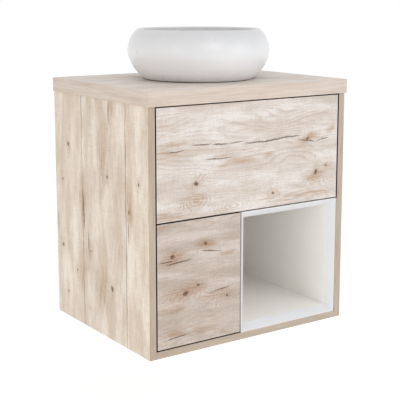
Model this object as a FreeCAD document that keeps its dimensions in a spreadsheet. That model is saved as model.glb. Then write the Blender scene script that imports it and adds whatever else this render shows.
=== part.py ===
"""Wall-hung vanity with a round vessel sink, as a parametric FreeCAD document.

A 600 mm cabinet of 18 mm boards hangs on a steel wall rail. It holds a wide upper
drawer, a deep lower-left drawer and an open white niche, all without handles: the
drawers open by push latches. A doubled worktop carries the ceramic bowl, its
click-clack waste and a bottle trap that the upper drawer is notched around.

Frame: X to the right, Y towards the wall, Z up. The origin is the middle of the wall
rail's back face, so the wall is the plane Y = 0 and the fronts face -Y.
"""
import FreeCAD
import Part
import Sketcher
import math
import os

V = FreeCAD.Vector
doc = FreeCAD.newDocument("vanity")


# ---------------------------------------------------------------------------
# Driving dimensions: alias, value in mm (or a plain count), what it is
# ---------------------------------------------------------------------------
SIZES = [
    ("carcass_width", 600, "outside width over the side panels"),
    ("carcass_depth", 475, "wall to the drawer fronts"),
    ("carcass_height", 604, "bottom of the cabinet to the worktop's underside"),
    ("board", 18, "thickness of every cabinet board"),
    ("band", 1, "thickness of the edging on the front edges"),
    ("hang_drop", 50, "worktop's underside down to the middle of the wall rail"),
    ("top_width", 606, "worktop, side to side"),
    ("top_depth", 480, "worktop, wall to front edge"),
    ("top_thick", 36, "worktop, two boards thick"),
    ("edge_break", 1, "small chamfer on the worktop and the fronts"),
    ("rail_gap", 10, "space behind the rear rails for the wall rail"),
    ("rail_height", 100, "height of the rear rails"),
    ("front_rail_depth", 80, "depth of the stretcher under the worktop"),
    ("front_rail_back", 22, "front plane back to the stretchers"),
    ("mid_rail_depth", 60, "depth of the stretcher between left side and niche"),
    ("reveal", 3.5, "gap round the fronts"),
    ("split_height", 327, "cabinet bottom to the gap between the two rows"),
    ("niche_size", 309, "outside width and height of the square niche"),
    ("niche_gap", 4.5, "niche to the right side panel"),
    ("niche_back", 30, "wall to the rear end of the niche"),
    ("niche_skin", 8, "thickness of the niche's back"),
    ("lip_flat", 0.6, "flat left on the front edge of the niche boards"),
    ("lower_front_width", 242.5, "lower drawer front"),
    ("drawer_board", 12, "thickness of the drawer boxes' sides"),
    ("drawer_floor", 8, "thickness of the drawer floors"),
    ("drawer_length", 400, "drawer boxes, front to back"),
    ("upper_box_height", 200, "upper drawer box"),
    ("upper_box_bottom", 345, "cabinet bottom to the upper drawer box"),
    ("lower_box_height", 205, "lower drawer box"),
    ("lower_box_bottom", 32, "cabinet bottom to the lower drawer box"),
    ("notch_width", 160, "notch in the upper drawer, between its cheeks"),
    ("notch_front", 320, "wall to the front of the notch"),
    ("runner_thick", 12.7, "ball-bearing runner, side clearance it fills"),
    ("runner_height", 45, "ball-bearing runner"),
    ("runner_length", 395, "ball-bearing runner, closed"),
    ("runner_rise", 58, "drawer box bottom to the runner's middle"),
    ("sheet", 1.2, "steel of the runners"),
    ("steel", 2, "steel of the wall rail and the hook rail"),
    ("wall_rail_length", 540, "wall rail"),
    ("hook_rail_length", 500, "hook rail"),
    ("wall_hole_radius", 3.5, "holes for the wall screws"),
    ("wall_hole_inner", 160, "spacing of the inner pair of wall screws"),
    ("wall_hole_outer", 480, "spacing of the outer pair of wall screws"),
    ("cam_radius", 7.5, "cam lock"),
    ("cam_depth", 12.5, "cam lock"),
    ("cam_inset", 34, "side panel's inner face to the cam's middle"),
    ("bolt_radius", 3, "cam bolt"),
    ("bolt_bite", 11, "cam bolt's depth in the side panel"),
    ("play", 0.1, "radial play round bolts and screws"),
    ("screw_radius", 2, "wood screw shank"),
    ("screw_head", 4, "wood screw head"),
    ("bowl_radius", 185.2, "widest part of the bowl"),
    ("bowl_waist", 67.5, "height of the widest part"),
    ("bowl_foot", 143, "radius where the bowl stands"),
    ("bowl_rim", 162, "outer radius of the rim"),
    ("bowl_mouth", 153.5, "inner radius of the rim"),
    ("bowl_lip", 125, "height where the rounded lip starts"),
    ("bowl_wall", 9, "thickness of the ceramic at the waist"),
    ("bowl_floor", 11, "thickness of the ceramic at the waste"),
    ("gasket", 1.5, "seal between bowl and worktop"),
    ("bowl_back", 240, "wall to the bowl's axis"),
    ("waste_hole", 23, "radius of the hole in the bowl"),
    ("waste_tube", 20.9, "outer radius of the threaded waste"),
    ("waste_bore", 17.5, "inner radius of the waste"),
    ("waste_flange", 31.5, "radius of the waste's flange"),
    ("waste_length", 92, "flange top to the end of the thread"),
    ("pipe", 16, "outer radius of the 32 mm trap pipes"),
    ("pipe_wall", 1.2, "wall of the trap pipes"),
    ("trap_level", 455, "cabinet bottom to the outlet pipe's axis"),
    ("trap_radius", 30, "bottle of the trap"),
    ("latch_radius", 5, "push latch housing"),
    ("plunger_radius", 3, "push latch plunger"),
]


class Length:
    """A length that carries both its number and its formula in the sheet."""

    def __init__(self, value, formula):
        self.value = value
        self.formula = formula

    def __add__(self, other):
        other = length(other)
        return Length(self.value + other.value, f"{self.formula} + {other.formula}")

    def __sub__(self, other):
        other = length(other)
        return Length(self.value - other.value, f"{self.formula} - ({other.formula})")

    def __neg__(self):
        return Length(-self.value, f"-1 * ({self.formula})")

    def __mul__(self, factor):
        return Length(self.value * factor, f"({self.formula}) * {factor}")

    def __truediv__(self, divisor):
        return Length(self.value / divisor, f"({self.formula}) / {divisor}")

    def __radd__(self, other):
        return length(other) + self

    def __rsub__(self, other):
        return length(other) - self

    __rmul__ = __mul__


def length(amount):
    """A plain number as a Length; a Length as it is."""
    return amount if isinstance(amount, Length) else Length(amount, str(amount))


class Dimensions:
    """Every alias of the sheet as an attribute holding its Length."""


def fill_sheet():
    """Write SIZES into the spreadsheet and return them as Lengths."""
    sheet = doc.addObject("Spreadsheet::Sheet", "Sizes")
    d = Dimensions()
    for row, (alias, value, note) in enumerate(SIZES, start=1):
        sheet.set(f"A{row}", note)
        sheet.set(f"B{row}", str(value))
        sheet.setAlias(f"B{row}", alias)
        setattr(d, alias, Length(value, f"Sizes.{alias}"))
    doc.recompute()
    return d


d = fill_sheet()

# Planes that many pieces share, worked out from the sheet
BOTTOM = d.hang_drop - d.carcass_height
UNDER_TOP = BOTTOM + d.carcass_height
DECK = UNDER_TOP + d.top_thick
FRONT = -d.carcass_depth
INSIDE = d.carcass_width / 2 - d.board
RAIL_BACK = -d.rail_gap
RAIL_FRONT = RAIL_BACK - d.board
BOX_BACK = FRONT + d.board + d.drawer_length
NICHE_RIGHT = INSIDE - d.niche_gap
NICHE_LEFT = NICHE_RIGHT - d.niche_size
NICHE_BOTTOM = BOTTOM + d.board
NICHE_TOP = NICHE_BOTTOM + d.niche_size
BOWL_BASE = DECK + d.gasket
BOWL_AXIS = -d.bowl_back
TRAP_AXIS = BOTTOM + d.trap_level


# ---------------------------------------------------------------------------
# Small builders
# ---------------------------------------------------------------------------
AXES = {
    "x": FreeCAD.Rotation(V(0, 1, 0), 90),
    "y": FreeCAD.Rotation(V(1, 0, 0), -90),
    "z": FreeCAD.Rotation(),
    "-x": FreeCAD.Rotation(V(0, 1, 0), -90),
    "-y": FreeCAD.Rotation(V(1, 0, 0), 90),
    "-z": FreeCAD.Rotation(V(1, 0, 0), 180),
}
SUBPARTS = []


def bind(item, **sizes):
    """Bind an object's properties to formulas of the sheet."""
    for name, amount in sizes.items():
        item.setExpression(name, length(amount).formula)
    return item


def put(item, x=0, y=0, z=0, axis="z"):
    """Turn an object's own Z to an axis and bind its place to the sheet."""
    item.Placement = FreeCAD.Placement(V(0, 0, 0), AXES[axis])
    for letter, amount in zip("xyz", (x, y, z)):
        item.setExpression(f".Placement.Base.{letter}", length(amount).formula)
    return item


def box(name, x, y, z):
    """A box between two limits on each axis, given as (low, high) pairs."""
    item = doc.addObject("Part::Box", name)
    sides = [length(high) - low for low, high in (x, y, z)]
    bind(item, Length=sides[0], Width=sides[1], Height=sides[2])
    return put(item, x[0], y[0], z[0])


def rod(name, radius, reach, x, y, z, axis="z"):
    """A cylinder that starts at a point and runs along an axis."""
    item = doc.addObject("Part::Cylinder", name)
    bind(item, Radius=radius, Height=reach)
    return put(item, x, y, z, axis)


def cone(name, start, end, reach, x, y, z, axis="z"):
    """A cone from radius start to radius end along an axis."""
    item = doc.addObject("Part::Cone", name)
    bind(item, Radius1=start, Radius2=end, Height=reach)
    return put(item, x, y, z, axis)


def fuse(name, items):
    item = doc.addObject("Part::MultiFuse", name)
    item.Shapes = items
    return item


def group(name, items):
    """Several separate solids that share one node."""
    item = doc.addObject("Part::Compound", name)
    item.Links = items
    return item


def cut(name, base, tools):
    """The base with every tool taken out of it."""
    item = doc.addObject("Part::Cut", name)
    item.Base = base
    item.Tool = tools[0] if len(tools) == 1 else fuse(f"{name}_cutters", tools)
    return item


def keep(item, name):
    """Name a finished sub-part after its node."""
    item.Label = name
    SUBPARTS.append(item)
    return item


def new_body(name):
    body = doc.addObject("PartDesign::Body", name)
    body.Label = name
    return body


def new_sketch(body, name, plane, offset=0):
    """A sketch on one of the body's own origin planes."""
    support = [item for item in body.Origin.OriginFeatures if item.Role == plane][0]
    sketch = body.newObject("Sketcher::SketchObject", name)
    sketch.AttachmentSupport = (support, [""])
    sketch.MapMode = "FlatFace"
    sketch.setExpression(".AttachmentOffset.Base.z", length(offset).formula)
    return sketch


def tie(sketch, edge, vertex, across, up):
    """Hold a sketch vertex at two distances from the sketch's origin."""
    for kind, amount in (("DistanceX", across), ("DistanceY", up)):
        amount = length(amount)
        rule = Sketcher.Constraint(kind, -1, 1, edge, vertex, amount.value)
        number = sketch.addConstraint(rule)
        sketch.setExpression(f"Constraints[{number}]", amount.formula)


def arc_between(start, end, radius):
    """The short arc between two points that bulges to the right of the way, or to
    the left with a negative radius; drawn counterclockwise, as a sketch stores it."""
    chord = end - start
    left = V(-chord.y, chord.x, 0).normalize() * (1 if radius > 0 else -1)
    centre = (start + end) / 2 + left * math.sqrt(radius ** 2 - (chord.Length / 2) ** 2)
    first, last = (start, end) if radius > 0 else (end, start)
    angles = [math.atan2(p.y - centre.y, p.x - centre.x) for p in (first, last)]
    if angles[1] < angles[0]:
        angles[1] += 2 * math.pi
    return Part.ArcOfCircle(Part.Circle(centre, V(0, 0, 1), abs(radius)), *angles)


def outline(sketch, corners):
    """A closed outline; a corner is (across, up) or, with an arc to the next corner,
    (across, up, radius), where a positive radius bulges to the right of the way."""
    count = len(corners)
    points = [V(length(c[0]).value, length(c[1]).value, 0) for c in corners]
    ends = []
    for index, corner in enumerate(corners):
        start = points[index]
        end = points[(index + 1) % count]
        if len(corner) == 2:
            sketch.addGeometry(Part.LineSegment(start, end), False)
            ends.append((1, 2))
            continue
        radius = length(corner[2])
        sketch.addGeometry(arc_between(start, end, radius.value), False)
        ends.append((1, 2) if radius.value > 0 else (2, 1))
    for index in range(count):
        follower = (index + 1) % count
        joint = (index, ends[index][1], follower, ends[follower][0])
        sketch.addConstraint(Sketcher.Constraint("Coincident", *joint))
    for index, corner in enumerate(corners):
        tie(sketch, index, ends[index][0], corner[0], corner[1])
        if len(corner) == 3:
            radius = length(corner[2])
            rule = Sketcher.Constraint("Radius", index, abs(radius.value))
            number = sketch.addConstraint(rule)
            sign = "" if radius.value > 0 else "-1 * "
            sketch.setExpression(f"Constraints[{number}]", f"{sign}({radius.formula})")
    return sketch


def rectangle(x, y):
    """The corners of an outline between two limits on each axis."""
    return [(x[0], y[0]), (x[1], y[0]), (x[1], y[1]), (x[0], y[1])]


def pad(body, sketch, reach, backwards=False):
    item = body.newObject("PartDesign::Pad", f"{body.Name}_pad")
    item.Profile = sketch
    item.Reversed = backwards
    bind(item, Length=reach)
    body.Tip = item
    return item


def revolve(body, sketch):
    """Turn a profile once round its sketch's vertical axis."""
    item = body.newObject("PartDesign::Revolution", f"{body.Name}_turn")
    item.Profile = sketch
    item.ReferenceAxis = (sketch, ["V_Axis"])
    item.Angle = 360
    body.Tip = item
    return item


def edges_where(feature, wanted):
    """Names of the edges of a feature that a test on the edge accepts."""
    doc.recompute()
    edges = enumerate(feature.Shape.Edges, start=1)
    return [f"Edge{number}" for number, edge in edges if wanted(edge)]


def dress(body, kind, edges, size):
    """Fillet or chamfer some edges of the body's last feature."""
    base = body.Tip
    item = body.newObject(f"PartDesign::{kind}", f"{body.Name}_{kind}{len(body.Group)}")
    item.Base = (base, edges)
    bind(item, **{"Radius" if kind == "Fillet" else "Size": size})
    body.Tip = item
    return item


def turned(name, profile, x=0, y=0, z=0, axis="z"):
    """A turned piece: a closed (radius, height) profile round its own axis."""
    body = new_body(name)
    revolve(body, outline(new_sketch(body, f"{name}_profile", "XZ_Plane"), profile))
    return put(body, x, y, z, axis)


def slab(name, corners, x, y, z, reach, plane="XY_Plane", backwards=False):
    """A padded outline set in place."""
    body = new_body(name)
    pad(body, outline(new_sketch(body, f"{name}_outline", plane), corners), reach, backwards)
    return put(body, x, y, z)


def ring(inner, outer, low, high):
    """The profile of a plain ring."""
    return [(inner, low), (outer, low), (outer, high), (inner, high)]


# ---------------------------------------------------------------------------
# Fasteners: cam locks with their bolts, and countersunk wood screws
# ---------------------------------------------------------------------------
SCREW_HEAD_DEPTH = 2.4
cams = []
cam_bolts = []
screws = []


def cam_joint(name, hand, y, z, face):
    """A cam lock and bolt at one end of a board; returns the holes they need.

    hand is -1 at the left side panel and 1 at the right; face is the direction in
    which the cam's mouth opens and how far the board's face is along it.
    """
    axis, level = face
    middle = (INSIDE - d.cam_inset) * hand
    spot = {"x": middle, "y": y, "z": z}
    spot[axis[-1]] = level
    inward = axis[1:] if axis.startswith("-") else f"-{axis}"
    cams.append(rod(f"cam_{name}", d.cam_radius, d.cam_depth, axis=inward, **spot))
    pocket = rod(f"cam_hole_{name}", d.cam_radius + d.play, d.cam_depth + d.play,
                 axis=inward, **spot)
    start = (INSIDE + d.bolt_bite) * hand
    along = "-x" if hand > 0 else "x"
    reach = d.bolt_bite + d.cam_inset - d.cam_radius - d.play
    cam_bolts.append(rod(f"bolt_{name}", d.bolt_radius, reach, start, y, z, along))
    deep = start + d.play * hand
    bore = rod(f"bolt_hole_{name}", d.bolt_radius + d.play, d.bolt_bite + d.cam_inset,
               deep, y, z, along)
    return pocket, bore


def screw(name, reach, x, y, z, axis):
    """A countersunk screw whose head is flush at a point; returns the hole it needs."""
    place = {"x": x, "y": y, "z": z, "axis": axis}
    head = cone(f"head_{name}", d.screw_head, d.screw_radius, SCREW_HEAD_DEPTH, **place)
    shank = rod(f"shank_{name}", d.screw_radius, reach, **place)
    wide = cone(f"sink_{name}", d.screw_head + d.play, d.screw_radius + d.play,
                SCREW_HEAD_DEPTH, **place)
    narrow = rod(f"pilot_{name}", d.screw_radius + d.play, reach + d.play, **place)
    return fuse(f"screw_{name}", [head, shank]), fuse(f"hole_{name}", [wide, narrow])


# ---------------------------------------------------------------------------
# Carcass: two sides, a floor, three rails and the edging
# ---------------------------------------------------------------------------
def carcass():
    body_front = FRONT + d.band
    middle = BOTTOM + d.board / 2
    rail_middle = (RAIL_BACK + RAIL_FRONT) / 2
    lower_rail = (NICHE_BOTTOM, NICHE_BOTTOM + d.rail_height)
    upper_rail = (UNDER_TOP - d.rail_height, UNDER_TOP)
    rail_start = FRONT + d.front_rail_back
    stretcher = (rail_start, rail_start + d.front_rail_depth)
    joints = {
        "floor_front": (rail_start + d.cam_inset, middle, ("z", NICHE_BOTTOM)),
        "floor_rear": (RAIL_FRONT - d.cam_inset, middle, ("z", NICHE_BOTTOM)),
        "front_rail": (rail_start + d.front_rail_depth / 2, UNDER_TOP - d.board / 2,
                       ("-z", UNDER_TOP - d.board)),
        "lower_rail": (rail_middle, NICHE_BOTTOM + d.rail_height / 2, ("-y", RAIL_FRONT)),
        "hanging_rail": (rail_middle, UNDER_TOP - d.rail_height / 2, ("-y", RAIL_FRONT)),
    }
    pockets = {name: [] for name in joints}
    bores = {-1: [], 1: []}
    for name, (y, z, face) in joints.items():
        for hand, side in ((-1, "left"), (1, "right")):
            pocket, bore = cam_joint(f"{name}_{side}", hand, y, z, face)
            pockets[name] += [pocket, bore]
            bores[hand].append(bore)

    for hand, side in ((-1, "left"), (1, "right")):
        inner = INSIDE * hand
        outer = inner + d.board * hand
        span = (outer, inner) if hand < 0 else (inner, outer)
        panel = box(f"panel_{side}", span, (body_front, 0), (BOTTOM, UNDER_TOP))
        keep(cut(f"side_{side}", panel, bores[hand]), f"side_{side}")

    width = (-INSIDE, INSIDE)
    floor = box("floor_board", width, (body_front, 0), (BOTTOM, NICHE_BOTTOM))
    niche_screws = []
    for number, (share, y) in enumerate([(0.2, -120), (0.8, -120), (0.2, -380), (0.8, -380)]):
        x = NICHE_LEFT + d.niche_size * share
        fixing, hole = screw(f"niche_{number}", 32, x, y, BOTTOM, "z")
        screws.append(fixing)
        niche_screws.append(hole)
    floor_holes = pockets["floor_front"] + pockets["floor_rear"] + niche_screws
    keep(cut("bottom_panel", floor, floor_holes), "bottom_panel")

    top_screws = []
    for number, share in enumerate((-0.8, -0.4, 0.4, 0.8)):
        fixing, hole = screw(f"top_{number}", 38, INSIDE * share, stretcher[0] + 22,
                             UNDER_TOP - d.board, "z")
        screws.append(fixing)
        top_screws.append(hole)
    beam = box("front_rail_board", width, stretcher, (UNDER_TOP - d.board, UNDER_TOP))
    keep(cut("front_rail", beam, pockets["front_rail"] + top_screws), "front_rail")

    latch_holes = [latch_hole(*place) for place in LATCHES.items()]
    hook_screws = []
    for number, x in enumerate((-210, -70, 70, 210)):
        fixing, hole = screw(f"hook_{number}", 17, x, RAIL_BACK + d.steel, 42, "-y")
        screws.append(fixing)
        hook_screws.append(hole)
    rear = (RAIL_FRONT, RAIL_BACK)
    beam = box("lower_rail_board", width, rear, lower_rail)
    keep(cut("lower_rail", beam, pockets["lower_rail"] + [latch_holes[1]]), "lower_rail")
    beam = box("hanging_rail_board", width, rear, upper_rail)
    holes = pockets["hanging_rail"] + hook_screws + [latch_holes[0]]
    keep(cut("hanging_rail", beam, holes), "hanging_rail")

    keep(box("mid_rail_board", (-INSIDE, NICHE_LEFT), (rail_start, rail_start + d.mid_rail_depth),
             (NICHE_TOP - d.board, NICHE_TOP)), "mid_rail")

    edge = (FRONT, body_front)
    outside = d.carcass_width / 2
    keep(group("edging", [
        box("band_left", (-outside, -INSIDE), edge, (BOTTOM, UNDER_TOP)),
        box("band_right", (INSIDE, outside), edge, (BOTTOM, UNDER_TOP)),
        box("band_floor", width, edge, (BOTTOM, NICHE_BOTTOM)),
    ]), "edge_bands")
    return niche_screws, top_screws, hook_screws


# ---------------------------------------------------------------------------
# Push latches: where each stands, and its hole, housing and plunger
# ---------------------------------------------------------------------------
LATCHES = {
    "upper": (-INSIDE * 0.6, UNDER_TOP - d.rail_height + 22),
    "lower": ((NICHE_LEFT - INSIDE) / 2, NICHE_BOTTOM + d.rail_height / 2),
}
LATCH_NOSE = 16
LATCH_COLLAR = 2
LATCH_TAIL = 22
PLUNGER_REACH = 10.7
PLUNGER_TAIL = 20


def latch_hole(name, place):
    """The hole through a rear rail for a latch."""
    x, z = place
    return rod(f"latch_hole_{name}", d.latch_radius + d.play, d.board, x, RAIL_BACK, z, "-y")


def push_latches():
    """Sleeves pressed into the rear rails; each guides a plunger behind a drawer."""
    guide = d.plunger_radius + 0.4
    sleeve = [
        (guide, -LATCH_TAIL),
        (d.latch_radius, -LATCH_TAIL),
        (d.latch_radius, 0),
        (d.latch_radius + 3, 0),
        (d.latch_radius + 3, LATCH_COLLAR),
        (d.latch_radius, LATCH_COLLAR),
        (d.latch_radius, LATCH_NOSE),
        (guide, LATCH_NOSE),
    ]
    sleeves = []
    for name, (x, z) in LATCHES.items():
        sleeves.append(turned(f"latch_sleeve_{name}", sleeve, x, RAIL_FRONT, z, "-y"))
        tip = LATCH_NOSE + PLUNGER_REACH
        plunger = [
            (0, -PLUNGER_TAIL),
            (d.plunger_radius, -PLUNGER_TAIL),
            (d.plunger_radius, tip - 6),
            (d.plunger_radius + 1.5, tip - 6),
            (d.plunger_radius + 1.5, tip),
            (0, tip),
        ]
        keep(turned(f"{name}_push_plunger", plunger, x, RAIL_FRONT, z, "-y"),
             f"{name}_push_plunger")
    keep(group("latch_sleeves", sleeves), "push_latch_sleeves")


# ---------------------------------------------------------------------------
# Wall rail and hook rail: two bent steel profiles, one hooked behind the other
# ---------------------------------------------------------------------------
def hanging_rails(hook_screws):
    s = d.steel
    wall = new_body("wall_rail_profile")
    section = [
        (0, -22), (0, 12), (-5, 12), (-5, 24), (-5 - s, 24), (-5 - s, 12 - s), (-s, 12 - s), (-s, -22),
    ]
    sketch = new_sketch(wall, "wall_rail_section", "YZ_Plane", -d.wall_rail_length / 2)
    pad(wall, outline(sketch, section), d.wall_rail_length)
    holes = []
    for spacing, pair in ((d.wall_hole_inner, "inner"), (d.wall_hole_outer, "outer")):
        for hand in (-0.5, 0.5):
            name = f"wall_hole_{pair}_{'left' if hand < 0 else 'right'}"
            holes.append(rod(name, d.wall_hole_radius, 6, spacing * hand, 2, 0, "-y"))
    keep(cut("wall_rail_drilled", wall, holes), "wall_rail")

    hook = new_body("hook_rail_profile")
    back = RAIL_BACK + s
    section = [
        (-2.7, 12), (-2.7, 26.5), (back, 26.5), (back, 49), (RAIL_BACK, 49), (RAIL_BACK, 24.5),
        (-2.7 - s, 24.5), (-2.7 - s, 12),
    ]
    sketch = new_sketch(hook, "hook_rail_section", "YZ_Plane", -d.hook_rail_length / 2)
    pad(hook, outline(sketch, section), d.hook_rail_length)
    keep(cut("hook_rail_drilled", hook, hook_screws), "hook_rail")


# ---------------------------------------------------------------------------
# Worktop: a doubled board with the waste's hole through it
# ---------------------------------------------------------------------------
def worktop(top_screws):
    body = new_body("worktop_board")
    half = d.top_width / 2
    sketch = new_sketch(body, "worktop_outline", "XY_Plane", UNDER_TOP)
    pad(body, outline(sketch, rectangle((-half, half), (-d.top_depth, 0))), d.top_thick)
    deck = DECK.value
    rims = edges_where(body.Tip, lambda e: abs(e.BoundBox.ZMin - deck) < 0.01)
    dress(body, "Chamfer", rims, d.edge_break)
    hole = rod("waste_way", d.waste_hole, d.top_thick + 2, 0, BOWL_AXIS, UNDER_TOP - 1)
    keep(cut("worktop", body, [hole] + top_screws), "worktop")


# ---------------------------------------------------------------------------
# Niche: four mitred boards, their front edges bevelled inwards, and a back
# ---------------------------------------------------------------------------
def niche(niche_screws):
    low, high = NICHE_BOTTOM, NICHE_TOP
    left, right = NICHE_LEFT, NICHE_RIGHT
    t = d.board
    reach = d.carcass_depth - d.niche_back
    boards = {
        "niche_left": [(left, low), (left + t, low + t), (left + t, high - t), (left, high)],
        "niche_right": [(right, low), (right, high), (right - t, high - t), (right - t, low + t)],
        "niche_top": [(left, high), (left + t, high - t), (right - t, high - t), (right, high)],
        "niche_floor": [(left, low), (right, low), (right - t, low + t), (left + t, low + t)],
    }
    inner = {
        "niche_left": ("x", (left + t).value),
        "niche_right": ("x", (right - t).value),
        "niche_top": ("z", (high - t).value),
        "niche_floor": ("z", (low + t).value),
    }
    front = FRONT.value
    for name, corners in boards.items():
        body = new_body(f"{name}_board")
        sketch = new_sketch(body, f"{name}_outline", "XZ_Plane", d.niche_back)
        pad(body, outline(sketch, corners), reach)
        letter, level = inner[name]

        def is_lip(edge, letter=letter, level=level):
            centre = edge.CenterOfMass
            return abs(centre.y - front) < 0.01 and abs(getattr(centre, letter) - level) < 0.01

        dress(body, "Chamfer", edges_where(body.Tip, is_lip), t - d.lip_flat)
        if name == "niche_floor":
            body = cut("niche_floor_drilled", body, niche_screws)
        keep(body, name)
    rear = -d.niche_back
    keep(box("niche_skin", (left + t, right - t), (rear - d.niche_skin, rear), (low + t, high - t)),
         "niche_back")
    packers = []
    for number, (y, share) in enumerate([(-100, 0.2), (-100, 0.8), (-400, 0.2), (-400, 0.8)]):
        z = low + d.niche_size * share
        packers.append(rod(f"packer_{number}", 12, d.niche_gap, right, y, z, "x"))
    keep(group("packers", packers), "niche_packers")


# ---------------------------------------------------------------------------
# Bowl: one turned ceramic piece, with its gasket
# ---------------------------------------------------------------------------
def bowl():
    body = new_body("bowl")
    floor = d.bowl_floor
    low_in = 3.6
    high_in = 1.8
    inner = d.bowl_radius - d.bowl_wall
    below = d.bowl_waist - 14.4
    above = d.bowl_waist + 19.3
    bend = d.bowl_foot - 26
    profile = [
        (d.waste_hole, 0),
        (d.bowl_foot, 0, 105),
        (d.bowl_radius - low_in, below, 58),
        (d.bowl_radius - high_in, above, 72),
        (d.bowl_rim, d.bowl_lip, 4.8),
        (d.bowl_mouth, d.bowl_lip, -68),
        (inner - high_in, above, -52),
        (inner - low_in, below, -92),
        (bend, floor + 5),
        (d.waste_flange + 4, floor),
        (d.waste_hole, floor),
    ]
    revolve(body, outline(new_sketch(body, "bowl_profile", "XZ_Plane"), profile))

    def ring_at(radius, level):
        """A test for the circular edge of a given radius and height."""
        def test(edge):
            limits = edge.BoundBox
            flat = limits.ZLength < 0.01 and abs(limits.ZMin - level) < 0.01
            return flat and abs(limits.XMax - radius) < 0.01
        return test

    corner = edges_where(body.Tip, ring_at(bend.value, (floor + 5).value))
    dress(body, "Fillet", corner, 28)
    foot = edges_where(body.Tip, ring_at(d.bowl_foot.value, 0))
    dress(body, "Fillet", foot, 2)
    keep(put(body, 0, BOWL_AXIS, BOWL_BASE), "bowl")
    seal = ring(d.bowl_foot - 16, d.bowl_foot - 5, 0, d.gasket)
    keep(turned("bowl_seal", seal, 0, BOWL_AXIS, DECK), "bowl_gasket")


# ---------------------------------------------------------------------------
# Click-clack waste: seals, flanged tube, nut, cartridge and lifting plug
# ---------------------------------------------------------------------------
SEAL = 1.5
FLANGE = 2
PLUG_GAP = 0.4


def waste():
    floor = BOWL_BASE + d.bowl_floor
    at = {"x": 0, "y": BOWL_AXIS}
    keep(turned("flange_seal", ring(d.waste_hole, d.waste_flange - 1, 0, SEAL), z=floor, **at),
         "waste_flange_seal")
    top = floor + SEAL + FLANGE
    tail = top - d.waste_length
    tube = [
        (d.waste_bore, -d.waste_length),
        (d.waste_tube, -d.waste_length),
        (d.waste_tube, -FLANGE),
        (d.waste_flange, -FLANGE),
        (d.waste_flange, -0.8),
        (d.waste_flange - 2, 0),
        (d.waste_bore + 4, 0),
        (d.waste_bore, -6),
    ]
    keep(turned("waste_body", tube, z=top, **at), "waste_body")
    under = ring(d.waste_tube + 0.3, d.waste_flange + 1, -3, 0)
    keep(turned("under_seal", under, z=UNDER_TOP, **at), "waste_lower_seal")
    nut = new_body("waste_nut_blank")
    flat = 27
    corners = []
    for step in range(6):
        angle = math.radians(60 * step)
        corners.append((round(flat * math.cos(angle) * 1.1547, 3),
                        round(flat * math.sin(angle) * 1.1547, 3)))
    pad(nut, outline(new_sketch(nut, "waste_nut_hexagon", "XY_Plane"), corners), 11)
    put(nut, 0, BOWL_AXIS, UNDER_TOP - 3 - 11)
    bore = rod("waste_nut_bore", d.waste_tube + 0.3, 20, 0, BOWL_AXIS, UNDER_TOP - 18)
    keep(cut("waste_nut", nut, [bore]), "waste_nut")

    stem_guide = ring(4.4, 7.5, -34, -18)
    spider = turned("cartridge_tube", stem_guide, z=top, **at)
    arms = []
    for number in range(3):
        arm = doc.addObject("Part::Box", f"cartridge_arm_{number}")
        bind(arm, Length=d.waste_bore - 6.2, Width=2, Height=10)
        arm.Placement = FreeCAD.Placement(V(6, -1, 0), FreeCAD.Rotation())
        spoke = doc.addObject("Part::Compound", f"cartridge_spoke_{number}")
        spoke.Links = [arm]
        put(spoke, 0, BOWL_AXIS, top - 31)
        spoke.Placement = FreeCAD.Placement(
            spoke.Placement.Base, FreeCAD.Rotation(V(0, 0, 1), 120 * number))
        arms.append(spoke)
    keep(fuse("cartridge", [spider] + arms), "waste_cartridge")

    plug = [
        (0, -40),
        (3.9, -40),
        (3.9, PLUG_GAP),
        (d.waste_flange - 3, PLUG_GAP),
        (d.waste_flange - 1, PLUG_GAP + 1.5, 3),
        (d.waste_flange - 3, PLUG_GAP + 4, 90),
        (9, PLUG_GAP + 6),
        (0, PLUG_GAP + 6),
    ]
    keep(turned("waste_plug", plug, z=top, **at), "waste_plug")
    return tail


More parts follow.
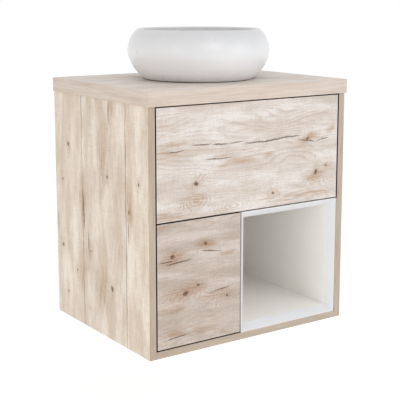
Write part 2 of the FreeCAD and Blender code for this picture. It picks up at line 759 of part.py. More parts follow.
# ---------------------------------------------------------------------------
# Bottle trap: nuts, dip tube, bottle, cup and the outlet to the wall
# ---------------------------------------------------------------------------
def trap(tail):
    at = {"x": 0, "y": BOWL_AXIS}
    dip = d.pipe - d.pipe_wall
    snug = d.pipe + 0.3
    grip = d.waste_tube + 0.3
    nut = [
        (snug, -16), (grip + 5, -16), (grip + 5, 8), (grip, 8), (grip, -0.4), (grip, -1.6),
        (snug, -1.6),
    ]
    keep(turned("inlet_nut", nut, z=tail, **at), "trap_inlet_nut")
    bottle_low = -28
    bottle_high = 38
    bottom = TRAP_AXIS + bottle_low
    reach = tail - bottom - 2
    keep(turned("dip_tube", ring(dip, d.pipe, 0, reach - 0.4), z=bottom + 2, **at),
         "trap_dip_tube")

    r = d.trap_radius
    shell = [
        (r - 3, bottle_low), (r, bottle_low), (r, bottle_high - 14, 14), (r - 10, bottle_high - 4),
        (r - 10, bottle_high), (snug, bottle_high), (snug, bottle_high - 6),
        (r - 3, bottle_high - 16),
    ]
    bottle = turned("bottle_shell", shell, z=TRAP_AXIS, **at)
    branch = rod("bottle_branch", d.pipe + 4, 20, 0, BOWL_AXIS + r - 4, TRAP_AXIS, "y")
    inside = rod("bottle_inside", r - 3, 30, 0, BOWL_AXIS, TRAP_AXIS - 18)
    way = rod("bottle_way", snug, 40, 0, BOWL_AXIS + 10, TRAP_AXIS, "y")
    stub = cut("bottle_stub", branch, [inside])
    keep(cut("bottle", fuse("bottle_joined", [bottle, stub]), [way]), "trap_bottle")
    cup = [
        (0, -62), (r - 2, -62, 5), (r + 3, -57), (r + 3, -21), (r + 0.4, -21), (r + 0.4, -28.6),
        (r - 3, -28.6), (r - 3, -52), (0, -56),
    ]
    keep(turned("cup", cup, z=TRAP_AXIS, **at), "trap_cup")

    outlet = BOWL_AXIS + r - 4 + 20
    nut = [
        (d.pipe + 4.4, -12), (d.pipe + 8, -12), (d.pipe + 8, 8), (snug, 8), (snug, 0.6),
        (d.pipe + 4.4, 0.6),
    ]
    keep(turned("outlet_nut", nut, 0, outlet, TRAP_AXIS, "y"), "trap_outlet_nut")
    start = BOWL_AXIS + r - 2
    pipe = ring(dip, d.pipe, 0, -start)
    keep(turned("outlet", pipe, 0, start, TRAP_AXIS, "y"), "trap_outlet_pipe")
    cover = [(snug, 0), (d.pipe + 19, 0), (d.pipe + 19, 1.5, 12), (d.pipe + 8, 8), (snug, 8)]
    keep(turned("rosette", cover, 0, 0, TRAP_AXIS, "-y"), "trap_wall_rosette")


# ---------------------------------------------------------------------------
# Runners: cabinet, middle and drawer members of ball-bearing slides
# ---------------------------------------------------------------------------
RUNNER_BACK = FRONT + d.board + 4


def runner_section(member):
    """A member's section: how far from the cabinet wall, and how high."""
    s = d.sheet
    h = d.runner_height / 2
    if member == "outer":
        return [(0, -h), (9.5, -h), (9.5, -h + s), (s, -h + s), (s, h - s), (9.5, h - s), (9.5, h),
                (0, h)]
    if member == "middle":
        lift = h - s * 2 - 1
        low, high = 2.2, 10.4
        web = (5.6, 5.6 + s)
        return [(low, -lift - s), (high, -lift - s), (high, -lift), (web[1], -lift),
                (web[1], lift), (high, lift), (high, lift + s), (low, lift + s), (low, lift),
                (web[0], lift), (web[0], -lift), (low, -lift)]
    lift = h - s * 3 - 3
    face = d.runner_thick
    return [(7.6, -lift - s), (face, -lift - s), (face, lift + s), (7.6, lift + s), (7.6, lift),
            (face - s, lift), (face - s, -lift), (7.6, -lift)]


def mirrored(corners, hand):
    """A section as it is on the left wall, or mirrored for the right wall."""
    if hand > 0:
        return corners
    return [(-length(across), up) for across, up in reversed(corners)]


def runner(name, member, wall, hand, z):
    """One member along Y; wall is the face it starts from, hand points into the box."""
    corners = mirrored(runner_section(member), hand)
    body = new_body(name)
    pad(body, outline(new_sketch(body, f"{name}_section", "XZ_Plane"), corners),
        d.runner_length)
    return put(body, wall, RUNNER_BACK + d.runner_length, z)


def runners(row, walls, z):
    """The three members at both walls of a drawer."""
    for member, node in (("outer", "runner_cabinet_member"), ("middle", "runner_middle_member"),
                         ("inner", "runner_drawer_member")):
        pair = []
        for hand, wall in zip((1, -1), walls):
            side = "left" if hand > 0 else "right"
            pair.append(runner(f"{row}_{member}_{side}", member, wall, hand, z))
        keep(group(f"{row}_{member}_pair", pair), f"{row}_{node}s")


# ---------------------------------------------------------------------------
# Drawers
# ---------------------------------------------------------------------------
def front(name, x, z):
    """A drawer front with its outer edges broken."""
    body = new_body(name)
    sketch = new_sketch(body, f"{name}_outline", "XZ_Plane", d.carcass_depth - d.board)
    pad(body, outline(sketch, rectangle(x, z)), d.board)
    face = FRONT.value
    rim = edges_where(body.Tip, lambda e: abs(e.BoundBox.YMax - face) < 0.01)
    dress(body, "Chamfer", rim, d.edge_break)
    return body


def front_screws(row, xs, zs):
    """Screws from inside the drawer's front corners, and the holes for them."""
    fixings = []
    holes = []
    for column, x in enumerate(xs):
        for level, z in enumerate(zs):
            fixing, hole = screw(f"{row}_front_{column}{level}", 26, x,
                                 FRONT + d.board + d.drawer_board, z, "-y")
            fixings.append(fixing)
            holes.append(hole)
    keep(group(f"{row}_screws", fixings), f"{row}_front_screws")
    return holes


def drawer_box(row, x, low, tall):
    """Sides and inner front of a drawer; returns the space between the sides."""
    t = d.drawer_board
    start = FRONT + d.board
    left, right = x
    level = (low, low + tall)
    keep(box(f"{row}_side_l", (left, left + t), (start, BOX_BACK), level), f"{row}_drawer_left")
    keep(box(f"{row}_side_r", (right - t, right), (start, BOX_BACK), level),
         f"{row}_drawer_right")
    return left + t, right - t


def upper_drawer():
    """The wide drawer, notched from the back around the trap."""
    t = d.drawer_board
    low = BOTTOM + d.upper_box_bottom
    deck = low + d.drawer_floor
    high = low + d.upper_box_height
    wall = INSIDE - d.runner_thick
    left, right = drawer_box("upper", (-wall, wall), low, d.upper_box_height)
    start = FRONT + d.board
    inner = start + t
    xs = (left + 40, right - 40)
    holes = front_screws("upper", xs, (deck + 40, high - 40))
    face = front("upper_front_board", (-INSIDE + d.reveal, NICHE_RIGHT),
                 (BOTTOM + d.split_height + d.reveal, UNDER_TOP - d.reveal))
    keep(cut("upper_front_drilled", face, holes), "upper_drawer_front")
    stay = box("upper_stay_board", (left, right), (start, inner), (deck, high))
    keep(cut("upper_stay", stay, holes), "upper_drawer_inner_front")
    half = d.notch_width / 2
    notch = -d.notch_front
    plan = [
        (left, start), (right, start), (right, BOX_BACK), (half, BOX_BACK), (half, notch),
        (-half, notch), (-half, BOX_BACK), (left, BOX_BACK),
    ]
    keep(slab("upper_floor", plan, 0, 0, low, d.drawer_floor), "upper_drawer_floor")
    rear = (BOX_BACK - t, BOX_BACK)
    cheeks = (notch, BOX_BACK)
    level = (deck, high)
    keep(group("upper_rear", [
        box("upper_rear_left", (left, -half - t), rear, level),
        box("upper_rear_right", (half + t, right), rear, level),
    ]), "upper_drawer_back")
    keep(group("upper_notch", [
        box("cheek_left", (-half - t, -half), cheeks, level),
        box("cheek_right", (half, half + t), cheeks, level),
        box("notch_end", (-half - t, half + t), (notch - t, notch), level),
    ]), "upper_notch_boards")
    runners("upper", (-INSIDE, INSIDE), low + d.runner_rise)


def lower_drawer():
    """The narrow, deep drawer beside the niche."""
    t = d.drawer_board
    low = BOTTOM + d.lower_box_bottom
    deck = low + d.drawer_floor
    high = low + d.lower_box_height
    space = (-INSIDE + d.runner_thick, NICHE_LEFT - d.runner_thick)
    left, right = drawer_box("lower", space, low, d.lower_box_height)
    start = FRONT + d.board
    inner = start + t
    holes = front_screws("lower", (left + 30, right - 30), (deck + 40, high - 40))
    edge = -INSIDE + d.reveal
    face = front("lower_front_board", (edge, edge + d.lower_front_width),
                 (BOTTOM + d.board + 3, BOTTOM + d.split_height))
    keep(cut("lower_front_drilled", face, holes), "lower_drawer_front")
    stay = box("lower_stay_board", (left, right), (start, inner), (deck, high))
    keep(cut("lower_stay", stay, holes), "lower_drawer_inner_front")
    keep(box("lower_floor", (left, right), (start, BOX_BACK), (low, deck)), "lower_drawer_floor")
    keep(box("lower_rear", (left, right), (BOX_BACK - t, BOX_BACK), (deck, high)),
         "lower_drawer_back")
    runners("lower", (-INSIDE, NICHE_LEFT), low + d.runner_rise)


# ---------------------------------------------------------------------------
# Assemble, check and write
# ---------------------------------------------------------------------------
def check_document():
    """Stop if any object failed or any sub-part is not a good solid."""
    for item in doc.Objects:
        if "Invalid" in item.State or "Error" in item.State:
            raise RuntimeError(f"{item.Name} failed: {item.State}")
    for item in SUBPARTS:
        shape = item.Shape
        if shape.isNull() or not shape.isValid() or not shape.Solids:
            raise RuntimeError(f"{item.Label} is not a valid solid")


def write_parts():
    os.makedirs("parts", exist_ok=True)
    for item in SUBPARTS:
        item.Shape.exportStep(f"parts/{item.Label}.step")


niche_holes, top_holes, hook_holes = carcass()
push_latches()
hanging_rails(hook_holes)
worktop(top_holes)
niche(niche_holes)
bowl()
trap(waste())
upper_drawer()
lower_drawer()
keep(group("cams", cams), "cam_locks")
keep(group("bolts", cam_bolts), "cam_bolts")
keep(group("wood_screws", screws), "carcass_screws")
doc.recompute()
check_document()
write_parts()
for part in SUBPARTS:
    print(part.Label, len(part.Shape.Solids), round(part.Shape.Volume / 1000, 1))
print(len(SUBPARTS), "sub-parts")
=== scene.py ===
import math

import bpy
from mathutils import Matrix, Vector


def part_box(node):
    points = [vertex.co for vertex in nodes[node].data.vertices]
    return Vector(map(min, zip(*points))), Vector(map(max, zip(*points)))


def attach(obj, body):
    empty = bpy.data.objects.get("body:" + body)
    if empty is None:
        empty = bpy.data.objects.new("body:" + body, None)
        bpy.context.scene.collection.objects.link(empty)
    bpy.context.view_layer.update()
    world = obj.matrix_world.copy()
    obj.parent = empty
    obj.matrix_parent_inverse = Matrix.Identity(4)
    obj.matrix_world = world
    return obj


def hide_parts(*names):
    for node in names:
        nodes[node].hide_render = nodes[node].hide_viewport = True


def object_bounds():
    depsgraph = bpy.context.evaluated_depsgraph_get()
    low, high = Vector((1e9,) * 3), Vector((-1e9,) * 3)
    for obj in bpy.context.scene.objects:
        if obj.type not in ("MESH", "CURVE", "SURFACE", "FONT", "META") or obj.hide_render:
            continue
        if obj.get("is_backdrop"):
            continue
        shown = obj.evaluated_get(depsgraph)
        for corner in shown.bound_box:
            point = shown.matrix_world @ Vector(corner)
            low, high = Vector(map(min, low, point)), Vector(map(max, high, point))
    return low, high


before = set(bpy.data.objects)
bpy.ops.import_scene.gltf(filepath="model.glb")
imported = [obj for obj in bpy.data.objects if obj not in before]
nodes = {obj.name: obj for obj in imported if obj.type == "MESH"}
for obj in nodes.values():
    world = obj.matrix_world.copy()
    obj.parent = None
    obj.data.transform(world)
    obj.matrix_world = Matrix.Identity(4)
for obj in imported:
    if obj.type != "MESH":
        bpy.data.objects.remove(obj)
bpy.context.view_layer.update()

# ---------------------------------------------------------------------------------------------
# Side panels, floor board and edging of the cabinet.
# 18 mm chipboard pressed with a rustic whitewashed oak decor, grain upright on the sides; the
# front edges are closed with glued 1 mm edging in a plainer beige oak, its arrises scraped round.
# ---------------------------------------------------------------------------------------------
MM = 0.001
METRE = 1000                                  # in mm, the unit of the patterns
TO_MM = (METRE, METRE, METRE)                 # a Mapping scale from metres to mm
BOARD_ARRIS = 0.35 * MM
EDGING_ARRIS = 0.5 * MM
ARRIS_SMOOTHING = math.radians(40)            # sharper edges than this stay sharp
FACING = 0.5                                  # cosine above which a face looks that way


def linear(hex_colour):
    """An sRGB hex colour as linear red, green and blue, and full alpha."""
    channels = [int(hex_colour[i:i + 2], 16) / 255 for i in (1, 3, 5)]
    light = [c / 12.92 if c <= 0.04045 else ((c + 0.055) / 1.055) ** 2.4 for c in channels]
    return light + [1.0]


def add_node(tree, kind, links, out=0, **settings):
    """Adds one node with its settings; links gives each socket a value or another node's output."""
    node = tree.nodes.new(kind)
    for setting, value in settings.items():
        setattr(node, setting, value)
    for socket, value in links.items():
        if isinstance(value, bpy.types.NodeSocket):
            tree.links.new(value, node.inputs[socket])
        else:
            node.inputs[socket].default_value = value
    return node.outputs[out] if len(node.outputs) else None


def new_material(name):
    """A material with an empty tree."""
    material = bpy.data.materials.new(name)
    material.use_nodes = True
    material.node_tree.nodes.clear()
    return material, material.node_tree


THROUGH = 1e6                                 # mm, deep enough to mark the whole board


def soft_ellipses(tree, points, spots):
    """The strongest of several soft ellipses.

    Each is (along, across, half length, half width, turn), in mm and degrees.
    """
    strongest = 0.0
    for along, across, half_length, half_width, turn in spots:
        local = add_node(tree, "ShaderNodeMapping", {
            "Vector": points, "Location": (along, across, 0),
            "Rotation": (0, 0, math.radians(turn)),
            "Scale": (half_length, half_width, THROUGH)}, vector_type="TEXTURE")
        spot = add_node(tree, "ShaderNodeTexGradient", {"Vector": local}, out="Fac",
                        gradient_type="SPHERICAL")
        strongest = add_node(tree, "ShaderNodeMath", {0: spot, 1: strongest}, operation="MAXIMUM")
    return strongest


WANDER = (18, 11, 0)                          # mm that the fibres wander along and across
KNOT_TEAR = (13, 9, 0)                        # mm that a knot's outline is torn
CRACK_TEAR = (6, 3.5, 0)                      # mm that a crack's outline is torn
RING_SPACING = 8.5                            # mm between growth lines
RING_DRIFT = 120.0                            # mm that they drift over a slow noise
KNOT_RISE = 30.0                              # mm that they rise to pass a knot
SWIRL_DIP = 48.0                              # mm that they dip round a swirl
PLANK_TONE = 0.05                             # a printed plank is this much lighter or darker


def oak_decor(name, turn, depth, tones, knots, cracks, stains, joints=(), swirls=(),
              ring_share=0.4, contrast=1.0):
    """Whitewashed rustic oak decor, in mm along the grain and across it.

    To the eye: a chalky pale board with beige and faintly pink clouds, drawn-out brown growth
    lines that part round the knots, fine darker pores, dark knots in a warm halo, and open dry
    cracks. Depth picks a layer of the figure in mm, so that no two boards show the same one.
    """
    material, tree = new_material(name)
    pale, beige, warm, line, dark = (linear(t) for t in tones)
    place = add_node(tree, "ShaderNodeTexCoord", {}, out="Object")
    grain = add_node(tree, "ShaderNodeMapping", {
        "Vector": place, "Rotation": turn, "Scale": TO_MM, "Location": (0, 0, depth)})

    def streaks(points, long_mm, wide_mm, detail, rough, out="Fac"):
        """Noise drawn out along the grain, with streaks of that length and width."""
        spread = add_node(tree, "ShaderNodeMapping", {
            "Vector": points, "Scale": (1 / long_mm, 1 / wide_mm, 1 / long_mm)})
        return add_node(tree, "ShaderNodeTexNoise", {
            "Vector": spread, "Scale": 1.0, "Detail": detail, "Roughness": rough}, out=out)

    def pulled(points, noise, reach):
        """The points moved by a colour noise, as far as reach along, across and into the board."""
        centred = add_node(tree, "ShaderNodeVectorMath", {0: noise, 1: (0.5, 0.5, 0.5)},
                           operation="SUBTRACT")
        return add_node(tree, "ShaderNodeVectorMath", {0: centred, 1: reach, 2: points},
                        operation="MULTIPLY_ADD")

    # The fibres wander: most of what follows is drawn on a board pulled about by a slow noise.
    wavy = pulled(grain, streaks(grain, 105, 36, 4.0, 0.62, "Color"), WANDER)
    # Growth lines: level lines of a height that drifts across the board and rises at each knot.
    across = add_node(tree, "ShaderNodeSeparateXYZ", {"Vector": wavy}, out="Y")
    swell = streaks(wavy, 290, 80, 1.0, 0.4)
    halo = soft_ellipses(tree, wavy, [
        (u, v, 20 + 4.0 * size, 8 + 2.2 * size, angle) for u, v, size, angle in knots])
    halo = add_node(tree, "ShaderNodeMapRange", {"Value": halo, "From Max": 0.85},
                    interpolation_type="SMOOTHSTEP")
    height = add_node(tree, "ShaderNodeMath", {0: swell, 1: RING_DRIFT, 2: across},
                      operation="MULTIPLY_ADD")
    curl = halo
    if swirls:
        swirl = add_node(tree, "ShaderNodeMapRange", {"Value": soft_ellipses(tree, wavy, swirls)},
                         interpolation_type="SMOOTHSTEP")
        height = add_node(tree, "ShaderNodeMath", {0: swirl, 1: -SWIRL_DIP, 2: height},
                          operation="MULTIPLY_ADD")
        curl = add_node(tree, "ShaderNodeMath", {0: swirl, 1: halo}, operation="MAXIMUM")
    height = add_node(tree, "ShaderNodeMath", {0: halo, 1: KNOT_RISE, 2: height},
                      operation="MULTIPLY_ADD")
    ring_count = add_node(tree, "ShaderNodeMath", {0: height, 1: 1 / RING_SPACING},
                          operation="MULTIPLY")
    phase = add_node(tree, "ShaderNodeMath", {0: ring_count}, operation="FRACT")
    ring = add_node(tree, "ShaderNodeMapRange", {
        "Value": phase, "From Min": 0.40, "From Max": 0.97})
    ring = add_node(tree, "ShaderNodeMath", {0: ring, 1: 1.6}, operation="POWER")
    # Fibre streaks and pores. Real oak pores are 0.3 mm wide; they are drawn 1.6 mm wide to show.
    patch = streaks(grain, 120, 42, 5.0, 0.65)
    streak = streaks(wavy, 60, 3.0, 4.0, 0.6)
    fibre = streaks(wavy, 34, 1.7, 3.0, 0.6)
    pore = add_node(tree, "ShaderNodeMapRange", {
        "Value": fibre, "From Min": 0.55, "From Max": 0.70})
    cloud = streaks(wavy, 170, 40, 6.0, 0.62)
    # The lime wash was brushed on across the grain and leaves faint strokes and specks.
    stroke = streaks(grain, 2.6, 30, 2.0, 0.5)
    speck = streaks(grain, 2.4, 1.6, 2.0, 0.6)
    plain = add_node(tree, "ShaderNodeMapRange", {
        "Value": patch, "From Min": 0.42, "From Max": 0.60, "To Min": 0.10, "To Max": 0.7})
    ring_here = add_node(tree, "ShaderNodeMath", {0: plain, 1: curl}, operation="ADD",
                         use_clamp=True)
    ring = add_node(tree, "ShaderNodeMath", {0: ring, 1: ring_here}, operation="MULTIPLY")
    broken = add_node(tree, "ShaderNodeMapRange", {
        "Value": streak, "From Min": 0.34, "From Max": 0.60, "To Min": 0.35, "To Max": 1.0})
    ring = add_node(tree, "ShaderNodeMath", {0: ring, 1: broken}, operation="MULTIPLY")

    # Knots have a torn outline; cracks break up along their length; stains soak along the fibres.
    torn = streaks(grain, 8, 5, 3.0, 0.65, "Color")
    knot = soft_ellipses(tree, pulled(wavy, torn, KNOT_TEAR), [
        (u, v, 1.25 * size, 1.0 * size, angle) for u, v, size, angle in knots])
    bark = add_node(tree, "ShaderNodeMapRange", {"Value": knot, "From Max": 0.25})
    core = add_node(tree, "ShaderNodeMapRange", {"Value": knot, "From Min": 0.16, "From Max": 0.55})
    torn_core = add_node(tree, "ShaderNodeMapRange", {
        "Value": fibre, "From Min": 0.35, "From Max": 0.55, "To Min": 0.5, "To Max": 1.0})
    core = add_node(tree, "ShaderNodeMath", {0: core, 1: torn_core}, operation="MULTIPLY")
    crack = soft_ellipses(tree, pulled(wavy, torn, CRACK_TEAR), cracks)
    crack = add_node(tree, "ShaderNodeMapRange", {
        "Value": crack, "From Min": 0.02, "From Max": 0.35})
    closed = add_node(tree, "ShaderNodeMapRange", {
        "Value": patch, "From Min": 0.30, "From Max": 0.44, "To Min": 0.15})
    crack = add_node(tree, "ShaderNodeMath", {0: crack, 1: closed}, operation="MULTIPLY")
    stain = soft_ellipses(tree, wavy, stains)
    soak = add_node(tree, "ShaderNodeMath", {0: streak, 1: fibre}, operation="ADD")
    soak = add_node(tree, "ShaderNodeMath", {0: stain, 1: 0.24, 2: soak}, operation="MULTIPLY_ADD")
    soak = add_node(tree, "ShaderNodeMapRange", {"Value": soak, "From Min": 1.08, "From Max": 1.24})
    wet = add_node(tree, "ShaderNodeMapRange", {"Value": stain, "From Max": 0.45})
    soak = add_node(tree, "ShaderNodeMath", {0: soak, 1: wet}, operation="MULTIPLY")

    # Colour, from the wash down to the open cracks.
    wash = add_node(tree, "ShaderNodeMapRange", {
        "Value": cloud, "From Min": 0.40, "From Max": 0.60})
    blush = add_node(tree, "ShaderNodeMapRange", {
        "Value": patch, "From Min": 0.46, "From Max": 0.70})
    brown = add_node(tree, "ShaderNodeMapRange", {
        "Value": streak, "From Min": 0.50, "From Max": 0.72})
    colour = add_node(tree, "ShaderNodeMix", {0: wash, 6: pale, 7: beige}, out=2, data_type="RGBA")
    for mask, share, tone in (
            (blush, 0.55, warm), (brown, 0.28, line), (ring, ring_share, line), (pore, 0.42, line),
            (stain, 0.20, line), (halo, 0.22, line), (soak, 0.50, line), (crack, 0.76, dark),
            (bark, 0.50, line), (core, 0.92, dark)):
        amount = add_node(tree, "ShaderNodeMath", {0: mask, 1: share * contrast},
                          operation="MULTIPLY")
        colour = add_node(tree, "ShaderNodeMix", {0: amount, 6: colour, 7: tone}, out=2,
                          data_type="RGBA")
    gain = 1.0
    for mask, swing in ((streak, 0.07), (stroke, 0.04), (speck, 0.11)):
        lift = add_node(tree, "ShaderNodeMapRange", {
            "Value": mask, "From Min": 0.3, "From Max": 0.7,
            "To Min": 1 - swing * contrast, "To Max": 1 + swing * contrast})
        gain = add_node(tree, "ShaderNodeMath", {0: gain, 1: lift}, operation="MULTIPLY")
    # Printed plank joints: a broken dark line, and a slightly different tone beyond it.
    plank_tone = PLANK_TONE
    faint = add_node(tree, "ShaderNodeMapRange", {
        "Value": patch, "From Min": 0.36, "From Max": 0.56,
        "To Min": 0.25, "To Max": 0.9 * contrast})
    for joint_across in joints:
        offset = add_node(tree, "ShaderNodeMath", {0: across, 1: joint_across},
                          operation="SUBTRACT")
        beyond = add_node(tree, "ShaderNodeMapRange", {
            "Value": offset, "From Min": -0.5, "From Max": 0.5,
            "To Min": 1.0, "To Max": 1.0 + plank_tone * contrast})
        gain = add_node(tree, "ShaderNodeMath", {0: gain, 1: beyond}, operation="MULTIPLY")
        plank_tone = -plank_tone
        offset = add_node(tree, "ShaderNodeMath", {0: offset}, operation="ABSOLUTE")
        seam = add_node(tree, "ShaderNodeMapRange", {
            "Value": offset, "From Min": 0.5, "From Max": 1.6, "To Min": 1.0, "To Max": 0.0})
        seam = add_node(tree, "ShaderNodeMath", {0: seam, 1: faint}, operation="MULTIPLY")
        colour = add_node(tree, "ShaderNodeMix", {0: seam, 6: colour, 7: dark}, out=2,
                          data_type="RGBA")
    colour = add_node(tree, "ShaderNodeVectorMath", {0: colour, 3: gain}, operation="SCALE")

    # Relief of a synchronised press plate: pores and cracks sunk, fibres just felt.
    sunk = add_node(tree, "ShaderNodeMath", {0: crack, 1: 2.0, 2: pore}, operation="MULTIPLY_ADD")
    relief = add_node(tree, "ShaderNodeMath", {0: streak, 1: sunk}, operation="SUBTRACT")
    bump = add_node(tree, "ShaderNodeBump", {
        "Height": relief, "Distance": 0.15 * MM, "Strength": 0.6}, out="Normal")
    gloss = add_node(tree, "ShaderNodeMapRange", {"Value": streak, "To Min": 0.50, "To Max": 0.68})
    shader = add_node(tree, "ShaderNodeBsdfPrincipled", {
        "Base Color": colour, "Roughness": gloss, "IOR": 1.5, "Specular IOR Level": 0.35,
        "Normal": bump})
    add_node(tree, "ShaderNodeOutputMaterial", {"Surface": shader})
    return material


def make_board(name, low, high, arris):
    """A board between two corners with its arrises eased."""
    bpy.ops.object.select_all(action="DESELECT")
    size = high - low
    bpy.ops.mesh.primitive_cube_add(size=1, location=(low + high) / 2, scale=size)
    board = bpy.context.object
    board.name = name
    board.data.name = name
    bpy.ops.object.transform_apply(location=True, rotation=True, scale=True)
    bpy.ops.object.mode_set(mode="EDIT")
    bpy.ops.mesh.select_all(action="SELECT")
    bpy.ops.mesh.bevel(offset=arris, segments=3, profile=0.5, affect="EDGES")
    bpy.ops.object.mode_set(mode="OBJECT")
    bpy.ops.object.shade_smooth_by_angle(angle=ARRIS_SMOOTHING)
    return board


def take_place(piece, body, slot_name, material, *node_names):
    """Gives a finished piece its material and lets it stand for the CAD nodes."""
    piece.data.materials.clear()
    piece.data.materials.append(material)
    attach(piece, body)
    if node_names:
        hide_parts(*node_names)


UPRIGHT_GRAIN = (0, math.radians(90), 0)      # along the grain is +Z, across it is +Y
SIDE_TONES = ("#EDE2D4", "#D5C4B1", "#DDCDBD", "#A98663", "#5A4331")
LEFT_KNOTS = (
    (-85, -75, 6, 20), (-180, -40, 5, 0), (-140, -280, 4, 0), (-135, -430, 5, -20),
    (-360, -35, 7, 10), (-345, -190, 4, 0), (-415, -115, 3.5, 0), (-420, -300, 7, 15),
    (-210, -385, 6, 0), (-480, -60, 4, 0),
)
LEFT_CRACKS = (
    (-245, -155, 60, 3.0, 2), (-330, -180, 40, 2.2, 4), (20, -290, 35, 1.8, 0),
    (-60, -370, 60, 1.6, 0), (-265, -380, 30, 2.6, 0), (-300, -10, 30, 1.4, 0),
)
LEFT_STAINS = (
    (-230, -150, 120, 25, 2), (-110, -260, 110, 35, 0), (-200, -385, 90, 25, 0),
    (-440, -250, 90, 50, 0), (30, -300, 60, 20, 0), (-400, -150, 90, 30, 0),
)
LEFT_JOINTS = (-150, -370)
SIDE_RINGS = 0.35
oak_left = oak_decor(
    "rustic_oak_decor_left", UPRIGHT_GRAIN, depth=0, tones=SIDE_TONES, knots=LEFT_KNOTS,
    cracks=LEFT_CRACKS, stains=LEFT_STAINS, joints=LEFT_JOINTS, ring_share=SIDE_RINGS)
RIGHT_KNOTS = ((-70, -120, 7, 0), (-240, -330, 8, 10), (-390, -90, 6, 0), (-450, -400, 7, -10))
RIGHT_CRACKS = ((-180, -200, 70, 2.6, 2), (-360, -260, 50, 2.0, -3), (0, -420, 50, 1.8, 0))
RIGHT_STAINS = ((-190, -200, 120, 30, 0), (-60, -330, 110, 36, 0), (-420, -300, 100, 40, 0))
RIGHT_JOINTS = (-110, -250, -395)
oak_right = oak_decor(
    "rustic_oak_decor_right", UPRIGHT_GRAIN, depth=900, tones=SIDE_TONES, knots=RIGHT_KNOTS,
    cracks=RIGHT_CRACKS, stains=RIGHT_STAINS, joints=RIGHT_JOINTS, ring_share=SIDE_RINGS)


def oak_edging(name, turn, light, shade):
    """Plain printed oak edging: an even beige with fine straight grain along the strip.

    To the eye: flat beige, with hair-thin slightly darker lines and a dull plastic sheen.
    """
    material, tree = new_material(name)
    place = add_node(tree, "ShaderNodeTexCoord", {}, out="Object")
    grain = add_node(tree, "ShaderNodeMapping", {
        "Vector": place, "Rotation": turn, "Scale": TO_MM})
    fine = add_node(tree, "ShaderNodeMapping", {
        "Vector": grain, "Scale": (1 / 60, 1 / 1.9, 1 / 1.9)})
    fibre = add_node(tree, "ShaderNodeTexNoise", {
        "Vector": fine, "Scale": 1.0, "Detail": 3.0, "Roughness": 0.6}, out="Fac")
    slow = add_node(tree, "ShaderNodeMapping", {
        "Vector": grain, "Scale": (1 / 150, 1 / 11, 1 / 11)})
    band = add_node(tree, "ShaderNodeTexNoise", {
        "Vector": slow, "Scale": 1.0, "Detail": 2.0, "Roughness": 0.5}, out="Fac")
    share = add_node(tree, "ShaderNodeMath", {0: fibre, 1: 0.6, 2: -0.05}, operation="MULTIPLY_ADD")
    share = add_node(tree, "ShaderNodeMath", {0: band, 1: 0.5, 2: share}, operation="MULTIPLY_ADD")
    share = add_node(tree, "ShaderNodeMapRange", {"Value": share, "From Min": 0.3, "From Max": 0.7})
    colour = add_node(tree, "ShaderNodeMix", {
        0: share, 6: linear(light), 7: linear(shade)}, out=2, data_type="RGBA")
    bump = add_node(tree, "ShaderNodeBump", {
        "Height": fibre, "Distance": 0.06 * MM, "Strength": 0.5}, out="Normal")
    gloss = add_node(tree, "ShaderNodeMapRange", {"Value": fibre, "To Min": 0.46, "To Max": 0.60})
    shader = add_node(tree, "ShaderNodeBsdfPrincipled", {
        "Base Color": colour, "Roughness": gloss, "IOR": 1.5, "Specular IOR Level": 0.4,
        "Normal": bump})
    add_node(tree, "ShaderNodeOutputMaterial", {"Surface": shader})
    return material


CARCASS_EDGING = ("#BFB0A0", "#A89482")
LEVEL_GRAIN = (0, 0, 0)                       # along the grain is +X, across it is +Y
edging_upright = oak_edging("oak_edging_upright", UPRIGHT_GRAIN, *CARCASS_EDGING)
edging_level = oak_edging("oak_edging_level", LEVEL_GRAIN, *CARCASS_EDGING)
# Umber colour on the hidden edges and behind the gaps is painted shade, so that each gap reads as
# one dark line.
gap_shade_paint = oak_edging("umber_painted_gap_shade", UPRIGHT_GRAIN, "#4A3B31", "#3E3128")

GAP_DEPTH = 22 * MM


def paint_shade_behind_gap(board, inward, lowest=-1.0):
    """Paints shade in umber on the front strip of a board's inner face, above a height: it shows
    through the gap.
    """
    front_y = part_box("edge_bands")[0].y
    bpy.ops.object.select_all(action="DESELECT")
    board.select_set(True)
    bpy.context.view_layer.objects.active = board
    bpy.ops.object.mode_set(mode="EDIT")
    bpy.ops.mesh.select_all(action="SELECT")
    bpy.ops.mesh.bisect(plane_co=(0, front_y + GAP_DEPTH, 0), plane_no=(0, 1, 0))
    bpy.ops.mesh.select_all(action="SELECT")
    bpy.ops.mesh.bisect(plane_co=(0, 0, lowest), plane_no=(0, 0, 1))
    bpy.ops.object.mode_set(mode="OBJECT")
    # Painted shade: the umber colour stands in for the shade inside the gap.
    board.data.materials.append(gap_shade_paint)
    for face in board.data.polygons:
        behind = face.center.y < front_y + GAP_DEPTH and face.center.z > lowest
        if behind and face.normal.dot(inward) > FACING:
            face.material_index = 1


panel_left = make_board("panel_left", *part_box("side_left"), BOARD_ARRIS)
take_place(panel_left, "cabinet", "oak_panel", oak_left, "side_left")
paint_shade_behind_gap(panel_left, Vector((1, 0, 0)))
panel_right = make_board("panel_right", *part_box("side_right"), BOARD_ARRIS)
take_place(panel_right, "cabinet", "oak_panel", oak_right, "side_right")
paint_shade_behind_gap(panel_right, Vector((-1, 0, 0)), lowest=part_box("niche_right")[1].z)
floor_board = make_board("panel_bottom", *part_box("bottom_panel"), BOARD_ARRIS)
oak_floor = oak_decor(
    "rustic_oak_decor_floor", LEVEL_GRAIN, depth=2000, tones=SIDE_TONES,
    knots=((-120, -150, 7, 0), (90, -300, 8, 0)), cracks=((40, -120, 80, 2, 1),),
    stains=((-60, -260, 140, 40, 0),))
take_place(floor_board, "cabinet", "oak_panel", oak_floor, "bottom_panel")
paint_shade_behind_gap(floor_board, Vector((0, 0, 1)))

